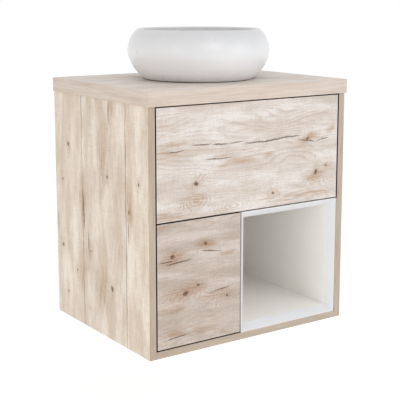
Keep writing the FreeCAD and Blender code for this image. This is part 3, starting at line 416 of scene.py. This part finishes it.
band_low, band_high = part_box("edge_bands")
floor_low, floor_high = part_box("bottom_panel")
band_left = make_board("edging_left", band_low,
                       Vector((floor_low.x, band_high.y, band_high.z)), EDGING_ARRIS)
take_place(band_left, "cabinet", "oak_edging", edging_upright, "edge_bands")
band_right = make_board("edging_right", Vector((floor_high.x, band_low.y, band_low.z)),
                        band_high, EDGING_ARRIS)
take_place(band_right, "cabinet", "oak_edging", edging_upright)
band_bottom = make_board("edging_bottom", Vector((floor_low.x, band_low.y, band_low.z)),
                         Vector((floor_high.x, band_high.y, floor_high.z)), EDGING_ARRIS)
take_place(band_bottom, "cabinet", "oak_edging", edging_level)

# ---------------------------------------------------------------------------------------------
# Rails inside the cabinet and the fittings that pull it together.
# White melamine board rails held between the sides by zinc cam locks, steel bolts and countersunk
# chipboard screws, which are cast, turned or pressed parts bought ready made.
# ---------------------------------------------------------------------------------------------


def even_finish(name, light, dark, mottle_mm, grain_mm, rough, relief_mm, stretch=(1, 1, 1),
                metallic=0.0, ior=1.5, **sockets):
    """A near-even surface: two close tones in soft clouds, and a fine grain in relief and gloss."""
    material, tree = new_material(name)
    place = add_node(tree, "ShaderNodeTexCoord", {}, out="Object")
    cloud_scale = tuple(METRE / mottle_mm / s for s in stretch)
    grain_scale = tuple(METRE / grain_mm / s for s in stretch)
    cloud_place = add_node(tree, "ShaderNodeMapping", {"Vector": place, "Scale": cloud_scale})
    cloud = add_node(tree, "ShaderNodeTexNoise", {
        "Vector": cloud_place, "Scale": 1.0, "Detail": 3.0, "Roughness": 0.55}, out="Fac")
    grain_place = add_node(tree, "ShaderNodeMapping", {"Vector": place, "Scale": grain_scale})
    grain = add_node(tree, "ShaderNodeTexNoise", {
        "Vector": grain_place, "Scale": 1.0, "Detail": 2.0, "Roughness": 0.6}, out="Fac")
    both = add_node(tree, "ShaderNodeMath", {0: grain, 1: 0.35, 2: cloud}, operation="MULTIPLY_ADD")
    share = add_node(tree, "ShaderNodeMapRange", {"Value": both, "From Min": 0.45, "From Max": 0.9})
    colour = add_node(tree, "ShaderNodeMix", {
        0: share, 6: linear(light), 7: linear(dark)}, out=2, data_type="RGBA")
    gloss = add_node(tree, "ShaderNodeMapRange", {
        "Value": both, "From Min": 0.4, "From Max": 0.95, "To Min": rough[0], "To Max": rough[1]})
    bump = add_node(tree, "ShaderNodeBump", {
        "Height": grain, "Distance": relief_mm * MM, "Strength": 0.5}, out="Normal")
    shader_sockets = {
        "Base Color": colour, "Roughness": gloss, "Metallic": metallic, "Normal": bump}
    if metallic < 1:
        shader_sockets["IOR"] = ior
    shader_sockets.update(sockets)
    shader = add_node(tree, "ShaderNodeBsdfPrincipled", shader_sockets)
    add_node(tree, "ShaderNodeOutputMaterial", {"Surface": shader})
    return material


def finish_node(node_name, material):
    """A CAD node keeps its mesh and gets a better material."""
    for material_slot in nodes[node_name].material_slots:
        material_slot.material = material


# White melamine: a cool white paper film with a faint pearl relief and a dull gloss.
white_melamine = even_finish("white_melamine_board", "#ECEAE6", "#E0DDD8", 60, 1.2, (0.42, 0.55),
                             0.05)
# Zinc die-cast cam locks: pale brassy grey, slightly grainy from the mould.
cast_zinc = even_finish("cast_zinc", "#C9C0A8", "#A79E88", 8, 0.8, (0.34, 0.5), 0.04, metallic=1.0)
# Nickel-plated screw steel: bright, with fine turning lines.
plated_steel = even_finish("nickel_plated_steel", "#CFCBC4", "#A9A69F", 5, 0.5, (0.22, 0.38), 0.03,
                           metallic=1.0)
for rail_name in ("front_rail", "mid_rail", "lower_rail", "hanging_rail"):
    finish_node(rail_name, white_melamine)
finish_node("cam_locks", cast_zinc)
for fastener_name in ("cam_bolts", "carcass_screws"):
    finish_node(fastener_name, plated_steel)

# ---------------------------------------------------------------------------------------------
# Worktop.
# A doubled 36 mm chipboard slab with the rustic decor on its face, grain along the wall; its front
# and ends are closed with 1 mm plain oak edging, and it is screwed up from the rails.
# ---------------------------------------------------------------------------------------------
EDGING = 1 * MM
top_low, top_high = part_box("worktop")
waste_low, waste_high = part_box("waste_body")
slab = make_board("worktop_slab", Vector((top_low.x + EDGING, top_low.y + EDGING, top_low.z)),
                  Vector((top_high.x - EDGING, top_high.y, top_high.z)), BOARD_ARRIS)
waste_middle = (waste_low + waste_high) / 2
WASTE_HOLE = 22.5 * MM                        # radius
HOLE_SIDES = 96
SAW_REACH = 3                                 # slab thicknesses, so that it cuts right through
bpy.ops.object.select_all(action="DESELECT")
bpy.ops.mesh.primitive_cylinder_add(
    vertices=HOLE_SIDES, radius=WASTE_HOLE, depth=SAW_REACH * (top_high.z - top_low.z),
    location=(waste_middle.x, waste_middle.y, (top_low.z + top_high.z) / 2))
hole_saw = bpy.context.object
bpy.ops.object.select_all(action="DESELECT")
slab.select_set(True)
bpy.context.view_layer.objects.active = slab
hole = slab.modifiers.new("waste_hole", "BOOLEAN")
hole.object = hole_saw
hole.operation = "DIFFERENCE"
hole.solver = "EXACT"
bpy.ops.object.modifier_apply(modifier=hole.name)
bpy.data.objects.remove(hole_saw)
TOP_TONES = ("#E6DDD6", "#D9CDC3", "#DDD1C9", "#B39A84", "#6E5A4C")
TOP_KNOTS = ((-215, -60, 6, 0), (235, -360, 7, 10), (-120, -440, 5, 0), (250, -90, 5, 0))
TOP_CRACKS = ((-160, -400, 60, 1.6, 1), (220, -200, 60, 1.8, -2))
TOP_STAINS = ((-230, -250, 60, 20, 0), (200, -440, 120, 20, 0))
TOP_JOINTS = (-180, -305)
TOP_CONTRAST = 0.3                            # the wash lies thicker here and hides the figure
oak_worktop = oak_decor(
    "rustic_oak_decor_worktop", LEVEL_GRAIN, depth=3000, tones=TOP_TONES, knots=TOP_KNOTS,
    cracks=TOP_CRACKS, stains=TOP_STAINS, joints=TOP_JOINTS, contrast=TOP_CONTRAST)
take_place(slab, "cabinet", "oak_top", oak_worktop, "worktop")
TOP_EDGING = ("#D9CBC0", "#C2B0A1")
DEEP_GRAIN = (0, 0, math.radians(90))         # along the grain is +Y
top_edging_level = oak_edging("oak_edging_top_front", LEVEL_GRAIN, *TOP_EDGING)
top_edging_deep = oak_edging("oak_edging_top_ends", DEEP_GRAIN, *TOP_EDGING)
front_strip = make_board("worktop_edging_front", top_low,
                         Vector((top_high.x, top_low.y + EDGING, top_high.z)), EDGING_ARRIS)
take_place(front_strip, "cabinet", "oak_edging", top_edging_level)
left_strip = make_board("worktop_edging_left",
                        Vector((top_low.x, top_low.y + EDGING, top_low.z)),
                        Vector((top_low.x + EDGING, top_high.y, top_high.z)), EDGING_ARRIS)
take_place(left_strip, "cabinet", "oak_edging", top_edging_deep)
right_strip = make_board("worktop_edging_right",
                         Vector((top_high.x - EDGING, top_low.y + EDGING, top_low.z)),
                         top_high, EDGING_ARRIS)
take_place(right_strip, "cabinet", "oak_edging", top_edging_deep)

# ---------------------------------------------------------------------------------------------
# Wall rail and hook rail.
# Two profiles roll-formed from 2 mm galvanised strip; one is screwed to the wall, the other to the
# hanging rail, and the cabinet hangs on their hooked edges.
# ---------------------------------------------------------------------------------------------


SPANGLE = 8                                   # mm across


def galvanised(name):
    """Hot-dip galvanised strip: grey zinc with leaf-shaped spangle, dull and bright."""
    material, tree = new_material(name)
    place = add_node(tree, "ShaderNodeTexCoord", {}, out="Object")
    spangle_place = add_node(tree, "ShaderNodeMapping", {
        "Vector": place, "Scale": (METRE / SPANGLE,) * 3})
    spangle = add_node(tree, "ShaderNodeTexVoronoi", {
        "Vector": spangle_place, "Scale": 1.0}, out="Color")
    leaf = add_node(tree, "ShaderNodeSeparateColor", {"Color": spangle}, out=0)
    colour = add_node(tree, "ShaderNodeMix", {
        0: leaf, 6: linear("#C4C8CA"), 7: linear("#9DA2A6")}, out=2, data_type="RGBA")
    gloss = add_node(tree, "ShaderNodeMapRange", {"Value": leaf, "To Min": 0.30, "To Max": 0.52})
    bump = add_node(tree, "ShaderNodeBump", {
        "Height": leaf, "Distance": 0.03 * MM, "Strength": 0.4}, out="Normal")
    shader = add_node(tree, "ShaderNodeBsdfPrincipled", {
        "Base Color": colour, "Metallic": 1.0, "Roughness": gloss, "Normal": bump})
    add_node(tree, "ShaderNodeOutputMaterial", {"Surface": shader})
    return material


galvanised_strip = galvanised("galvanised_strip")
for profile_name in ("wall_rail", "hook_rail"):
    finish_node(profile_name, galvanised_strip)

# ---------------------------------------------------------------------------------------------
# Open niche at the lower right.
# Four 18 mm boards mitred together with their front inner edges bevelled at 45 degrees, and an
# 8 mm back, all lacquered satin white; clear packers hold it off the right side panel.
# ---------------------------------------------------------------------------------------------
# Satin white lacquer: sprayed, with a hint of orange peel in the gloss; warm white on the faces,
# and on the bevels a greyer copy with a little more gloss, whose greyer white is painted shade.
satin_lacquer = even_finish("satin_white_lacquer", "#FCFAF6", "#FAF7F2", 90, 1.8, (0.30, 0.40),
                            0.04, ior=1.48)
bevel_lacquer_painted_shade = even_finish("satin_white_lacquer_bevel_painted_shade", "#E2E2E3", "#DCDCDE", 90, 1.8,
                            (0.28, 0.36), 0.04, ior=1.48)
NICHE_ARRIS = 0.5 * MM
BEVEL_TILT = (-0.85, -0.55)                   # y of the normals of the 45 degree bevels
STRAY = 0.01 * MM                             # corners closer than this are one corner
FLAT = math.radians(1)                        # faces that meet at less than this are one face
SHARP = math.radians(30)                      # edges that turn more than this are eased


def softened(node_name, piece_name, arris):
    """A copy of a CAD board's mesh, merged, with its sharp arrises eased."""
    piece = bpy.data.objects.new(piece_name, nodes[node_name].data.copy())
    bpy.context.collection.objects.link(piece)
    bpy.ops.object.select_all(action="DESELECT")
    piece.select_set(True)
    bpy.context.view_layer.objects.active = piece
    bpy.ops.mesh.customdata_custom_splitnormals_clear()
    bpy.ops.object.mode_set(mode="EDIT")
    bpy.ops.mesh.select_all(action="SELECT")
    bpy.ops.mesh.remove_doubles(threshold=STRAY)
    bpy.ops.mesh.dissolve_limited(angle_limit=FLAT)
    bpy.ops.object.mode_set(mode="OBJECT")
    easing = piece.modifiers.new("eased_arrises", "BEVEL")
    easing.width = arris
    easing.segments = 2
    easing.limit_method = "ANGLE"
    easing.angle_limit = SHARP
    bpy.ops.object.modifier_apply(modifier=easing.name)
    bpy.ops.object.shade_smooth_by_angle(angle=SHARP)
    return piece


for board_name in ("left", "right", "top", "floor", "back"):
    niche_board = softened(f"niche_{board_name}", f"niche_board_{board_name}", NICHE_ARRIS)
    take_place(niche_board, "cabinet", "white_niche", satin_lacquer, f"niche_{board_name}")
    # The bevel faces get the greyer copy: painted shade.
    niche_board.data.materials.append(bevel_lacquer_painted_shade)
    for face in niche_board.data.polygons:
        if BEVEL_TILT[0] < face.normal.y < BEVEL_TILT[1]:
            face.material_index = 1
# Clear polycarbonate packers: water-clear with a faint haze.
clear_plastic = even_finish("clear_polycarbonate", "#F2F4F4", "#E6EAEA", 6, 0.8, (0.08, 0.16), 0.02,
                            ior=1.58, **{"Transmission Weight": 0.9})
finish_node("niche_packers", clear_plastic)

# ---------------------------------------------------------------------------------------------
# Vessel bowl and its gasket.
# A round vitreous china bowl, slip-cast in a soft barrel shape with a rolled lip, glazed satin
# white, and set on a thin rubber gasket.
# ---------------------------------------------------------------------------------------------
bowl_low, bowl_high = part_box("bowl")
bowl_middle = (bowl_low + bowl_high) / 2


def arc(start, end, radius, steps):
    """Points after start, up to end, on an arc of the profile; a positive radius bulges outwards
    on the way up."""
    (r0, z0), (r1, z1) = start, end
    chord = math.hypot(r1 - r0, z1 - z0)
    rise = math.sqrt(radius * radius - chord * chord / 4)
    side = math.copysign(1, radius)
    centre_r = (r0 + r1) / 2 - side * rise * (z1 - z0) / chord
    centre_z = (z0 + z1) / 2 + side * rise * (r1 - r0) / chord
    first = math.atan2(z0 - centre_z, r0 - centre_r)
    sweep = (math.atan2(z1 - centre_z, r1 - centre_r) - first + math.pi) % (2 * math.pi) - math.pi
    size = abs(radius)
    return [(centre_r + size * math.cos(first + sweep * i / steps),
             centre_z + size * math.sin(first + sweep * i / steps)) for i in range(1, steps + 1)]


BOWL_TURNS = 160
BOWL_STRAY = 0.02 * MM                        # corners closer than this are one corner
BOWL_SMOOTHING = math.radians(50)             # sharper edges than this stay sharp
# Half section in mm from the axis and above the foot: from the foot out, up, over the lip and in.
section = [(23.0, 0.0), (60.0, 0.0), (105.0, 0.0), (141.2, 0.0), (142.6, 0.5), (143.6, 1.9)]
section += arc(section[-1], (181.6, 53.1), 105, 12)
section += arc(section[-1], (183.4, 86.8), 58, 8)
section += arc(section[-1], (162.0, 125.0), 72, 12)
section += arc(section[-1], (153.5, 125.0), 4.8, 10)
section += arc(section[-1], (174.4, 86.8), -68, 12)
section += arc(section[-1], (172.6, 53.1), -52, 8)
section += arc(section[-1], (130.0, 19.5), -92, 10)
section += arc(section[-1], (108.0, 14.8), -50, 5)
section += [(85.0, 13.6), (60.0, 12.3), (36.0, 11.0), (34.6, 10.6), (34.0, 9.4), (25.0, 8.9),
            (23.6, 8.4), (23.0, 7.4)]

bpy.ops.object.select_all(action="DESELECT")
bpy.ops.mesh.primitive_plane_add(size=2 * MM, location=(
    bowl_middle.x + section[0][0] * MM, bowl_middle.y, bowl_low.z))
bowl = bpy.context.object
bowl.name = "vessel_bowl"
bpy.ops.object.transform_apply(location=True, rotation=True, scale=True)
bpy.ops.object.mode_set(mode="EDIT")
bpy.ops.mesh.select_all(action="SELECT")
bpy.ops.mesh.merge(type="CENTER")
for (r_before, z_before), (r_after, z_after) in zip(section, section[1:]):
    bpy.ops.mesh.extrude_region_move(TRANSFORM_OT_translate={
        "value": ((r_after - r_before) * MM, 0, (z_after - z_before) * MM)})
bpy.ops.mesh.extrude_region_move(TRANSFORM_OT_translate={
    "value": ((section[0][0] - section[-1][0]) * MM, 0, (section[0][1] - section[-1][1]) * MM)})
bpy.ops.mesh.select_all(action="SELECT")
bpy.ops.mesh.remove_doubles(threshold=BOWL_STRAY)
bpy.ops.mesh.select_all(action="SELECT")
bpy.ops.mesh.spin(steps=BOWL_TURNS, angle=2 * math.pi, center=(bowl_middle.x, bowl_middle.y, 0),
                  axis=(0, 0, 1))
bpy.ops.mesh.select_all(action="SELECT")
bpy.ops.mesh.remove_doubles(threshold=BOWL_STRAY)
bpy.ops.mesh.normals_make_consistent(inside=False)
bpy.ops.object.mode_set(mode="OBJECT")
bpy.ops.object.shade_smooth_by_angle(angle=BOWL_SMOOTHING)


POOLS = 22                                    # to the metre, so about 45 mm wide
PEEL = 2.5                                    # mm wide


def glazed_china(name):
    """Vitreous china under a satin glaze.

    To the eye: a neutral white with a broad soft highlight; painted light and shade make it lighter
    towards the foot and greyer at the lip, and its gloss varies in slow clouds.
    """
    material, tree = new_material(name)
    place = add_node(tree, "ShaderNodeTexCoord", {}, out="Object")
    pool_place = add_node(tree, "ShaderNodeMapping", {"Vector": place, "Scale": (POOLS,) * 3})
    pool = add_node(tree, "ShaderNodeTexNoise", {
        "Vector": pool_place, "Scale": 1.0, "Detail": 2.0, "Roughness": 0.5}, out="Fac")
    peel_place = add_node(tree, "ShaderNodeMapping", {
        "Vector": place, "Scale": (METRE / PEEL,) * 3})
    peel = add_node(tree, "ShaderNodeTexNoise", {
        "Vector": peel_place, "Scale": 1.0, "Detail": 1.0, "Roughness": 0.5}, out="Fac")
    # Painted light and shade: the colour is lighter at the foot and greyer at the lip, by height;
    # the pool noise adds a little random tone.
    lift = add_node(tree, "ShaderNodeSeparateXYZ", {"Vector": place}, out="Z")
    lift = add_node(tree, "ShaderNodeMapRange", {
        "Value": lift, "From Min": bowl_low.z, "From Max": bowl_high.z})
    lift = add_node(tree, "ShaderNodeMath", {0: pool, 1: 0.15, 2: lift}, operation="MULTIPLY_ADD")
    colour = add_node(tree, "ShaderNodeMix", {
        0: lift, 6: linear("#F6F5F4"), 7: linear("#CFCFD1")}, out=2, data_type="RGBA")
    relief = add_node(tree, "ShaderNodeMath", {0: pool, 1: 3.0, 2: peel}, operation="MULTIPLY_ADD")
    bump = add_node(tree, "ShaderNodeBump", {
        "Height": relief, "Distance": 0.03 * MM, "Strength": 0.4}, out="Normal")
    gloss = add_node(tree, "ShaderNodeMapRange", {"Value": pool, "To Min": 0.24, "To Max": 0.36})
    shader = add_node(tree, "ShaderNodeBsdfPrincipled", {
        "Base Color": colour, "Roughness": gloss, "IOR": 1.52, "Coat Weight": 0.35,
        "Coat Roughness": 0.18, "Subsurface Weight": 0.6,
        "Subsurface Radius": (0.030, 0.028, 0.026), "Subsurface Scale": 1.0, "Normal": bump})
    add_node(tree, "ShaderNodeOutputMaterial", {"Surface": shader})
    return material


take_place(bowl, "cabinet", "bowl_ceramic", glazed_china("satin_glazed_china"), "bowl")
# Black EPDM rubber: dull, with a moulded bloom.
rubber = even_finish("black_rubber", "#2E2D2C", "#3A3937", 12, 0.7, (0.62, 0.8), 0.08)
for seal_name in ("bowl_gasket", "waste_flange_seal", "waste_lower_seal"):
    finish_node(seal_name, rubber)

# ---------------------------------------------------------------------------------------------
# Waste, trap and plug.
# A click-clack waste and a bottle trap in chrome-plated brass, turned and polished, with raw brass
# back nut and cartridge; the domed plug springs up when it is pressed.
# ---------------------------------------------------------------------------------------------
# Chrome plate: a bright cool mirror with faint wipe marks.
chrome = even_finish("chrome_plate", "#DADDE0", "#CDD0D4", 30, 4, (0.05, 0.14), 0.005, metallic=1.0)
# Raw turned brass: warm yellow, fine tool lines round the part.
brass = even_finish("turned_brass", "#CDAA66", "#B08C48", 14, 0.6, (0.24, 0.38), 0.02,
                    stretch=(6, 6, 1), metallic=1.0)
for chromed_name in ("waste_body", "waste_plug", "trap_inlet_nut", "trap_dip_tube", "trap_bottle",
                     "trap_cup", "trap_outlet_nut", "trap_outlet_pipe", "trap_wall_rosette"):
    finish_node(chromed_name, chrome)
for brass_name in ("waste_nut", "waste_cartridge"):
    finish_node(brass_name, brass)

# ---------------------------------------------------------------------------------------------
# Drawer runners.
# Ball-bearing runners, three nested channels roll-formed from zinc-plated strip: one on the
# cabinet, one on the drawer and a middle one between them.
# ---------------------------------------------------------------------------------------------
# Zinc-plated strip: cool bright grey with rolling lines along the channel.
runner_zinc = even_finish("zinc_plated_strip", "#C6CBD0", "#A8AEB4", 9, 0.5, (0.26, 0.4), 0.02,
                          stretch=(1, 14, 1), metallic=1.0)
for row in ("upper", "lower"):
    for member in ("cabinet", "middle", "drawer"):
        finish_node(f"{row}_runner_{member}_members", runner_zinc)

# ---------------------------------------------------------------------------------------------
# Push latches.
# A moulded acetal sleeve pressed into the rear rail for each drawer, with a sprung plunger that
# pushes the drawer out.
# ---------------------------------------------------------------------------------------------
# Moulded grey acetal: an even cool grey with a waxy sheen.
acetal = even_finish("grey_acetal", "#9A9C9E", "#8C8E90", 10, 0.6, (0.35, 0.48), 0.03, ior=1.48)
for latch_name in ("push_latch_sleeves", "upper_push_plunger", "lower_push_plunger"):
    finish_node(latch_name, acetal)

# ---------------------------------------------------------------------------------------------
# Drawer boxes.
# 12 mm sides, back and inner front in light grey foil-wrapped board, with 8 mm floors; the upper
# box is cut round the trap. The fronts are screwed on from inside.
# ---------------------------------------------------------------------------------------------
# Light grey foil: a fine linen-like print, matt.
grey_foil = even_finish("light_grey_foil", "#D3D1CC", "#C5C2BC", 30, 0.9, (0.46, 0.58), 0.05)
FOIL_ARRIS = 0.8 * MM
for row in ("upper", "lower"):
    for board_name in ("left", "right", "inner_front", "floor", "back"):
        node_name = f"{row}_drawer_{board_name}"
        take_place(softened(node_name, f"{row}_box_{board_name}", FOIL_ARRIS), f"{row}_drawer",
                   "drawer_board", grey_foil, node_name)
finish_node("upper_notch_boards", grey_foil)
for screw_name in ("upper_front_screws", "lower_front_screws"):
    finish_node(screw_name, plated_steel)

# ---------------------------------------------------------------------------------------------
# Drawer fronts.
# 18 mm board with the rustic decor on the face, grain level; the arrises are eased and the edges
# painted umber as painted shade, so that the gaps stay dark. They have no handles and open by
# pushing.
# ---------------------------------------------------------------------------------------------
FRONT_GRAIN = (math.radians(-90), 0, 0)       # along the grain is +X, across it is +Z
FRONT_TONES = ("#E1DAD5", "#CABEB4", "#D0C4BE", "#A98868", "#554034")
UPPER_KNOTS = (
    (-170, -140, 6.5, 30), (205, -150, 8, 70), (240, -135, 4.5, 0), (65, -190, 4, 0),
    (175, -60, 5, 30),
)
UPPER_CRACKS = (
    (-150, -50, 30, 2.0, 0), (-95, -52, 30, 2.0, -2), (-50, -52, 26, 2.0, 0), (5, -55, 36, 2.2, 2),
    (60, -55, 45, 2.6, 2), (115, -50, 40, 2.0, 3), (175, -65, 36, 1.8, -10), (225, -65, 26, 1.6, 6),
    (-100, -85, 45, 1.6, 0), (-225, -60, 30, 1.8, 2),
)
UPPER_STAINS = (
    (-260, -60, 60, 15, 0), (-235, -40, 70, 10, 3), (50, -90, 25, 15, 0), (175, -65, 60, 18, 20),
    (-25, -100, 50, 10, 0), (-175, -180, 60, 28, 0), (-250, -210, 60, 15, 0),
    (200, -160, 60, 24, 0), (150, -205, 160, 16, 0), (255, -40, 25, 14, 20),
)
UPPER_SWIRLS = ((-170, -175, 70, 42, 0), (-60, -205, 90, 30, 0), (200, -160, 70, 38, 0))
FRONT_RINGS = 0.75
oak_upper = oak_decor(
    "rustic_oak_decor_upper_front", FRONT_GRAIN, depth=5000, tones=FRONT_TONES, knots=UPPER_KNOTS,
    cracks=UPPER_CRACKS, stains=UPPER_STAINS, swirls=UPPER_SWIRLS, ring_share=FRONT_RINGS)
LOWER_TONES = ("#CFC2B9", "#B6A89C", "#BDAFA5", "#A07D60", "#4E3A2E")
LOWER_KNOTS = (
    (-200, -405, 8.5, 30), (-165, -390, 5, 0), (-75, -430, 4, 0), (-140, -290, 6, 0),
    (-235, -310, 7.5, 20),
)
LOWER_CRACKS = (
    (-220, -325, 45, 2.4, 3), (-120, -310, 36, 2.0, -8), (-255, -320, 22, 1.6, 0),
    (-225, -510, 40, 1.8, 5), (-95, -410, 40, 1.4, 6),
)
LOWER_STAINS = (
    (-235, -315, 50, 20, 10), (-140, -290, 35, 16, 0), (-75, -320, 35, 8, 0),
    (-200, -400, 80, 20, 0), (-110, -415, 70, 15, 8), (-150, -505, 60, 12, 0),
    (-235, -500, 50, 18, 0), (-240, -440, 60, 16, 0),
)
LOWER_SWIRLS = ((-200, -400, 80, 36, 0), (-110, -430, 60, 34, 10), (-145, -290, 45, 28, 0))
oak_lower = oak_decor(
    "rustic_oak_decor_lower_front", FRONT_GRAIN, depth=6500, tones=LOWER_TONES, knots=LOWER_KNOTS,
    cracks=LOWER_CRACKS, stains=LOWER_STAINS, swirls=LOWER_SWIRLS, ring_share=FRONT_RINGS)
FRONT_ARRIS = 0.6 * MM
for row, decor in (("upper", oak_upper), ("lower", oak_lower)):
    front = make_board(f"front_{row}", *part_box(f"{row}_drawer_front"), FRONT_ARRIS)
    take_place(front, f"{row}_drawer", "oak_front", decor, f"{row}_drawer_front")
    # The edge faces take the umber painted gap shade.
    front.data.materials.append(gap_shade_paint)
    for face in front.data.polygons:
        if abs(face.normal.y) < FACING:
            face.material_index = 1

# ---------------------------------------------------------------------------------------------
# Studio.
# A pale floor below the hung cabinet, a white surround that dims overhead, three soft lights, cool
# from the right, neutral from the front and faintly warm from the left, and the camera.
# ---------------------------------------------------------------------------------------------
low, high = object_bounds()
middle = (low + high) / 2
FLOOR_DROP = 0.32
FLOOR_SIZE = 40
bpy.ops.object.select_all(action="DESELECT")
bpy.ops.mesh.primitive_plane_add(
    size=FLOOR_SIZE, location=(middle.x, middle.y, low.z - FLOOR_DROP))
floor = bpy.context.object
floor.name = "studio_floor"
# Matt white acrylic floor, lit softly from below as a shooting table is.
WHITE = (1, 1, 1, 1)
floor.data.materials.append(even_finish(
    "matt_white_acrylic", "#FBFBFB", "#F8F8F8", 900, 6, (0.8, 0.9), 0.1,
    **{"Emission Color": WHITE, "Emission Strength": 0.25}))
floor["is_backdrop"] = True

world = bpy.data.worlds.new("white_surround")
bpy.context.scene.world = world
world.use_nodes = True
world.node_tree.nodes.clear()
# The surround lights the object less from above than from the side; seen directly it is even.
HORIZON, ZENITH, SEEN = 1.02, 0.70, 1.0
heading = add_node(world.node_tree, "ShaderNodeTexCoord", {}, out="Generated")
height = add_node(world.node_tree, "ShaderNodeSeparateXYZ", {"Vector": heading}, out="Z")
lighting = add_node(world.node_tree, "ShaderNodeMapRange", {
    "Value": height, "To Min": HORIZON, "To Max": ZENITH})
seen = add_node(world.node_tree, "ShaderNodeLightPath", {}, out="Is Camera Ray")
strength = add_node(world.node_tree, "ShaderNodeMapRange", {
    "Value": seen, "To Min": lighting, "To Max": SEEN})
glow = add_node(world.node_tree, "ShaderNodeBackground", {"Color": WHITE, "Strength": strength})
add_node(world.node_tree, "ShaderNodeOutputWorld", {"Surface": glow})

for lamp_name, place, watts, size, lamp_colour in (
        ("right_softbox", (1.7, -3.0, 0.9), 11, 1.8, (0.78, 0.90, 1.0)),
        ("front_softbox", (-0.5, -3.2, 1.6), 11, 1.2, (1.0, 0.99, 0.97)),
        ("left_softbox", (-3.0, -1.2, 0.9), 5.5, 1.2, (1.0, 0.97, 0.94))):
    bpy.ops.object.light_add(type="AREA", location=place)
    lamp = bpy.context.object
    lamp.name = lamp_name
    lamp.data.energy = watts
    lamp.data.size = size
    lamp.data.color = lamp_colour
    lamp.rotation_euler = (Vector(place) - middle).to_track_quat("Z", "Y").to_euler()

AZIMUTH, ELEVATION, DISTANCE = math.radians(-34.57), math.radians(9.52), 2.638
AIM_OFFSET = Vector((0.006, 0.0015, 0.037))   # from the object's middle
LENS = 89.2
SHIFT = -0.1                                  # keeps the uprights nearly parallel
aim = middle + AIM_OFFSET
back = Vector((math.sin(AZIMUTH) * math.cos(ELEVATION), -math.cos(AZIMUTH) * math.cos(ELEVATION),
               math.sin(ELEVATION)))
bpy.ops.object.camera_add(location=aim + DISTANCE * back)
camera = bpy.context.object
camera.rotation_euler = back.to_track_quat("Z", "Y").to_euler()
camera.data.lens = LENS
camera.data.shift_y = SHIFT
bpy.context.scene.camera = camera
bpy.context.scene.view_settings.view_transform = "Standard"

low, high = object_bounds()
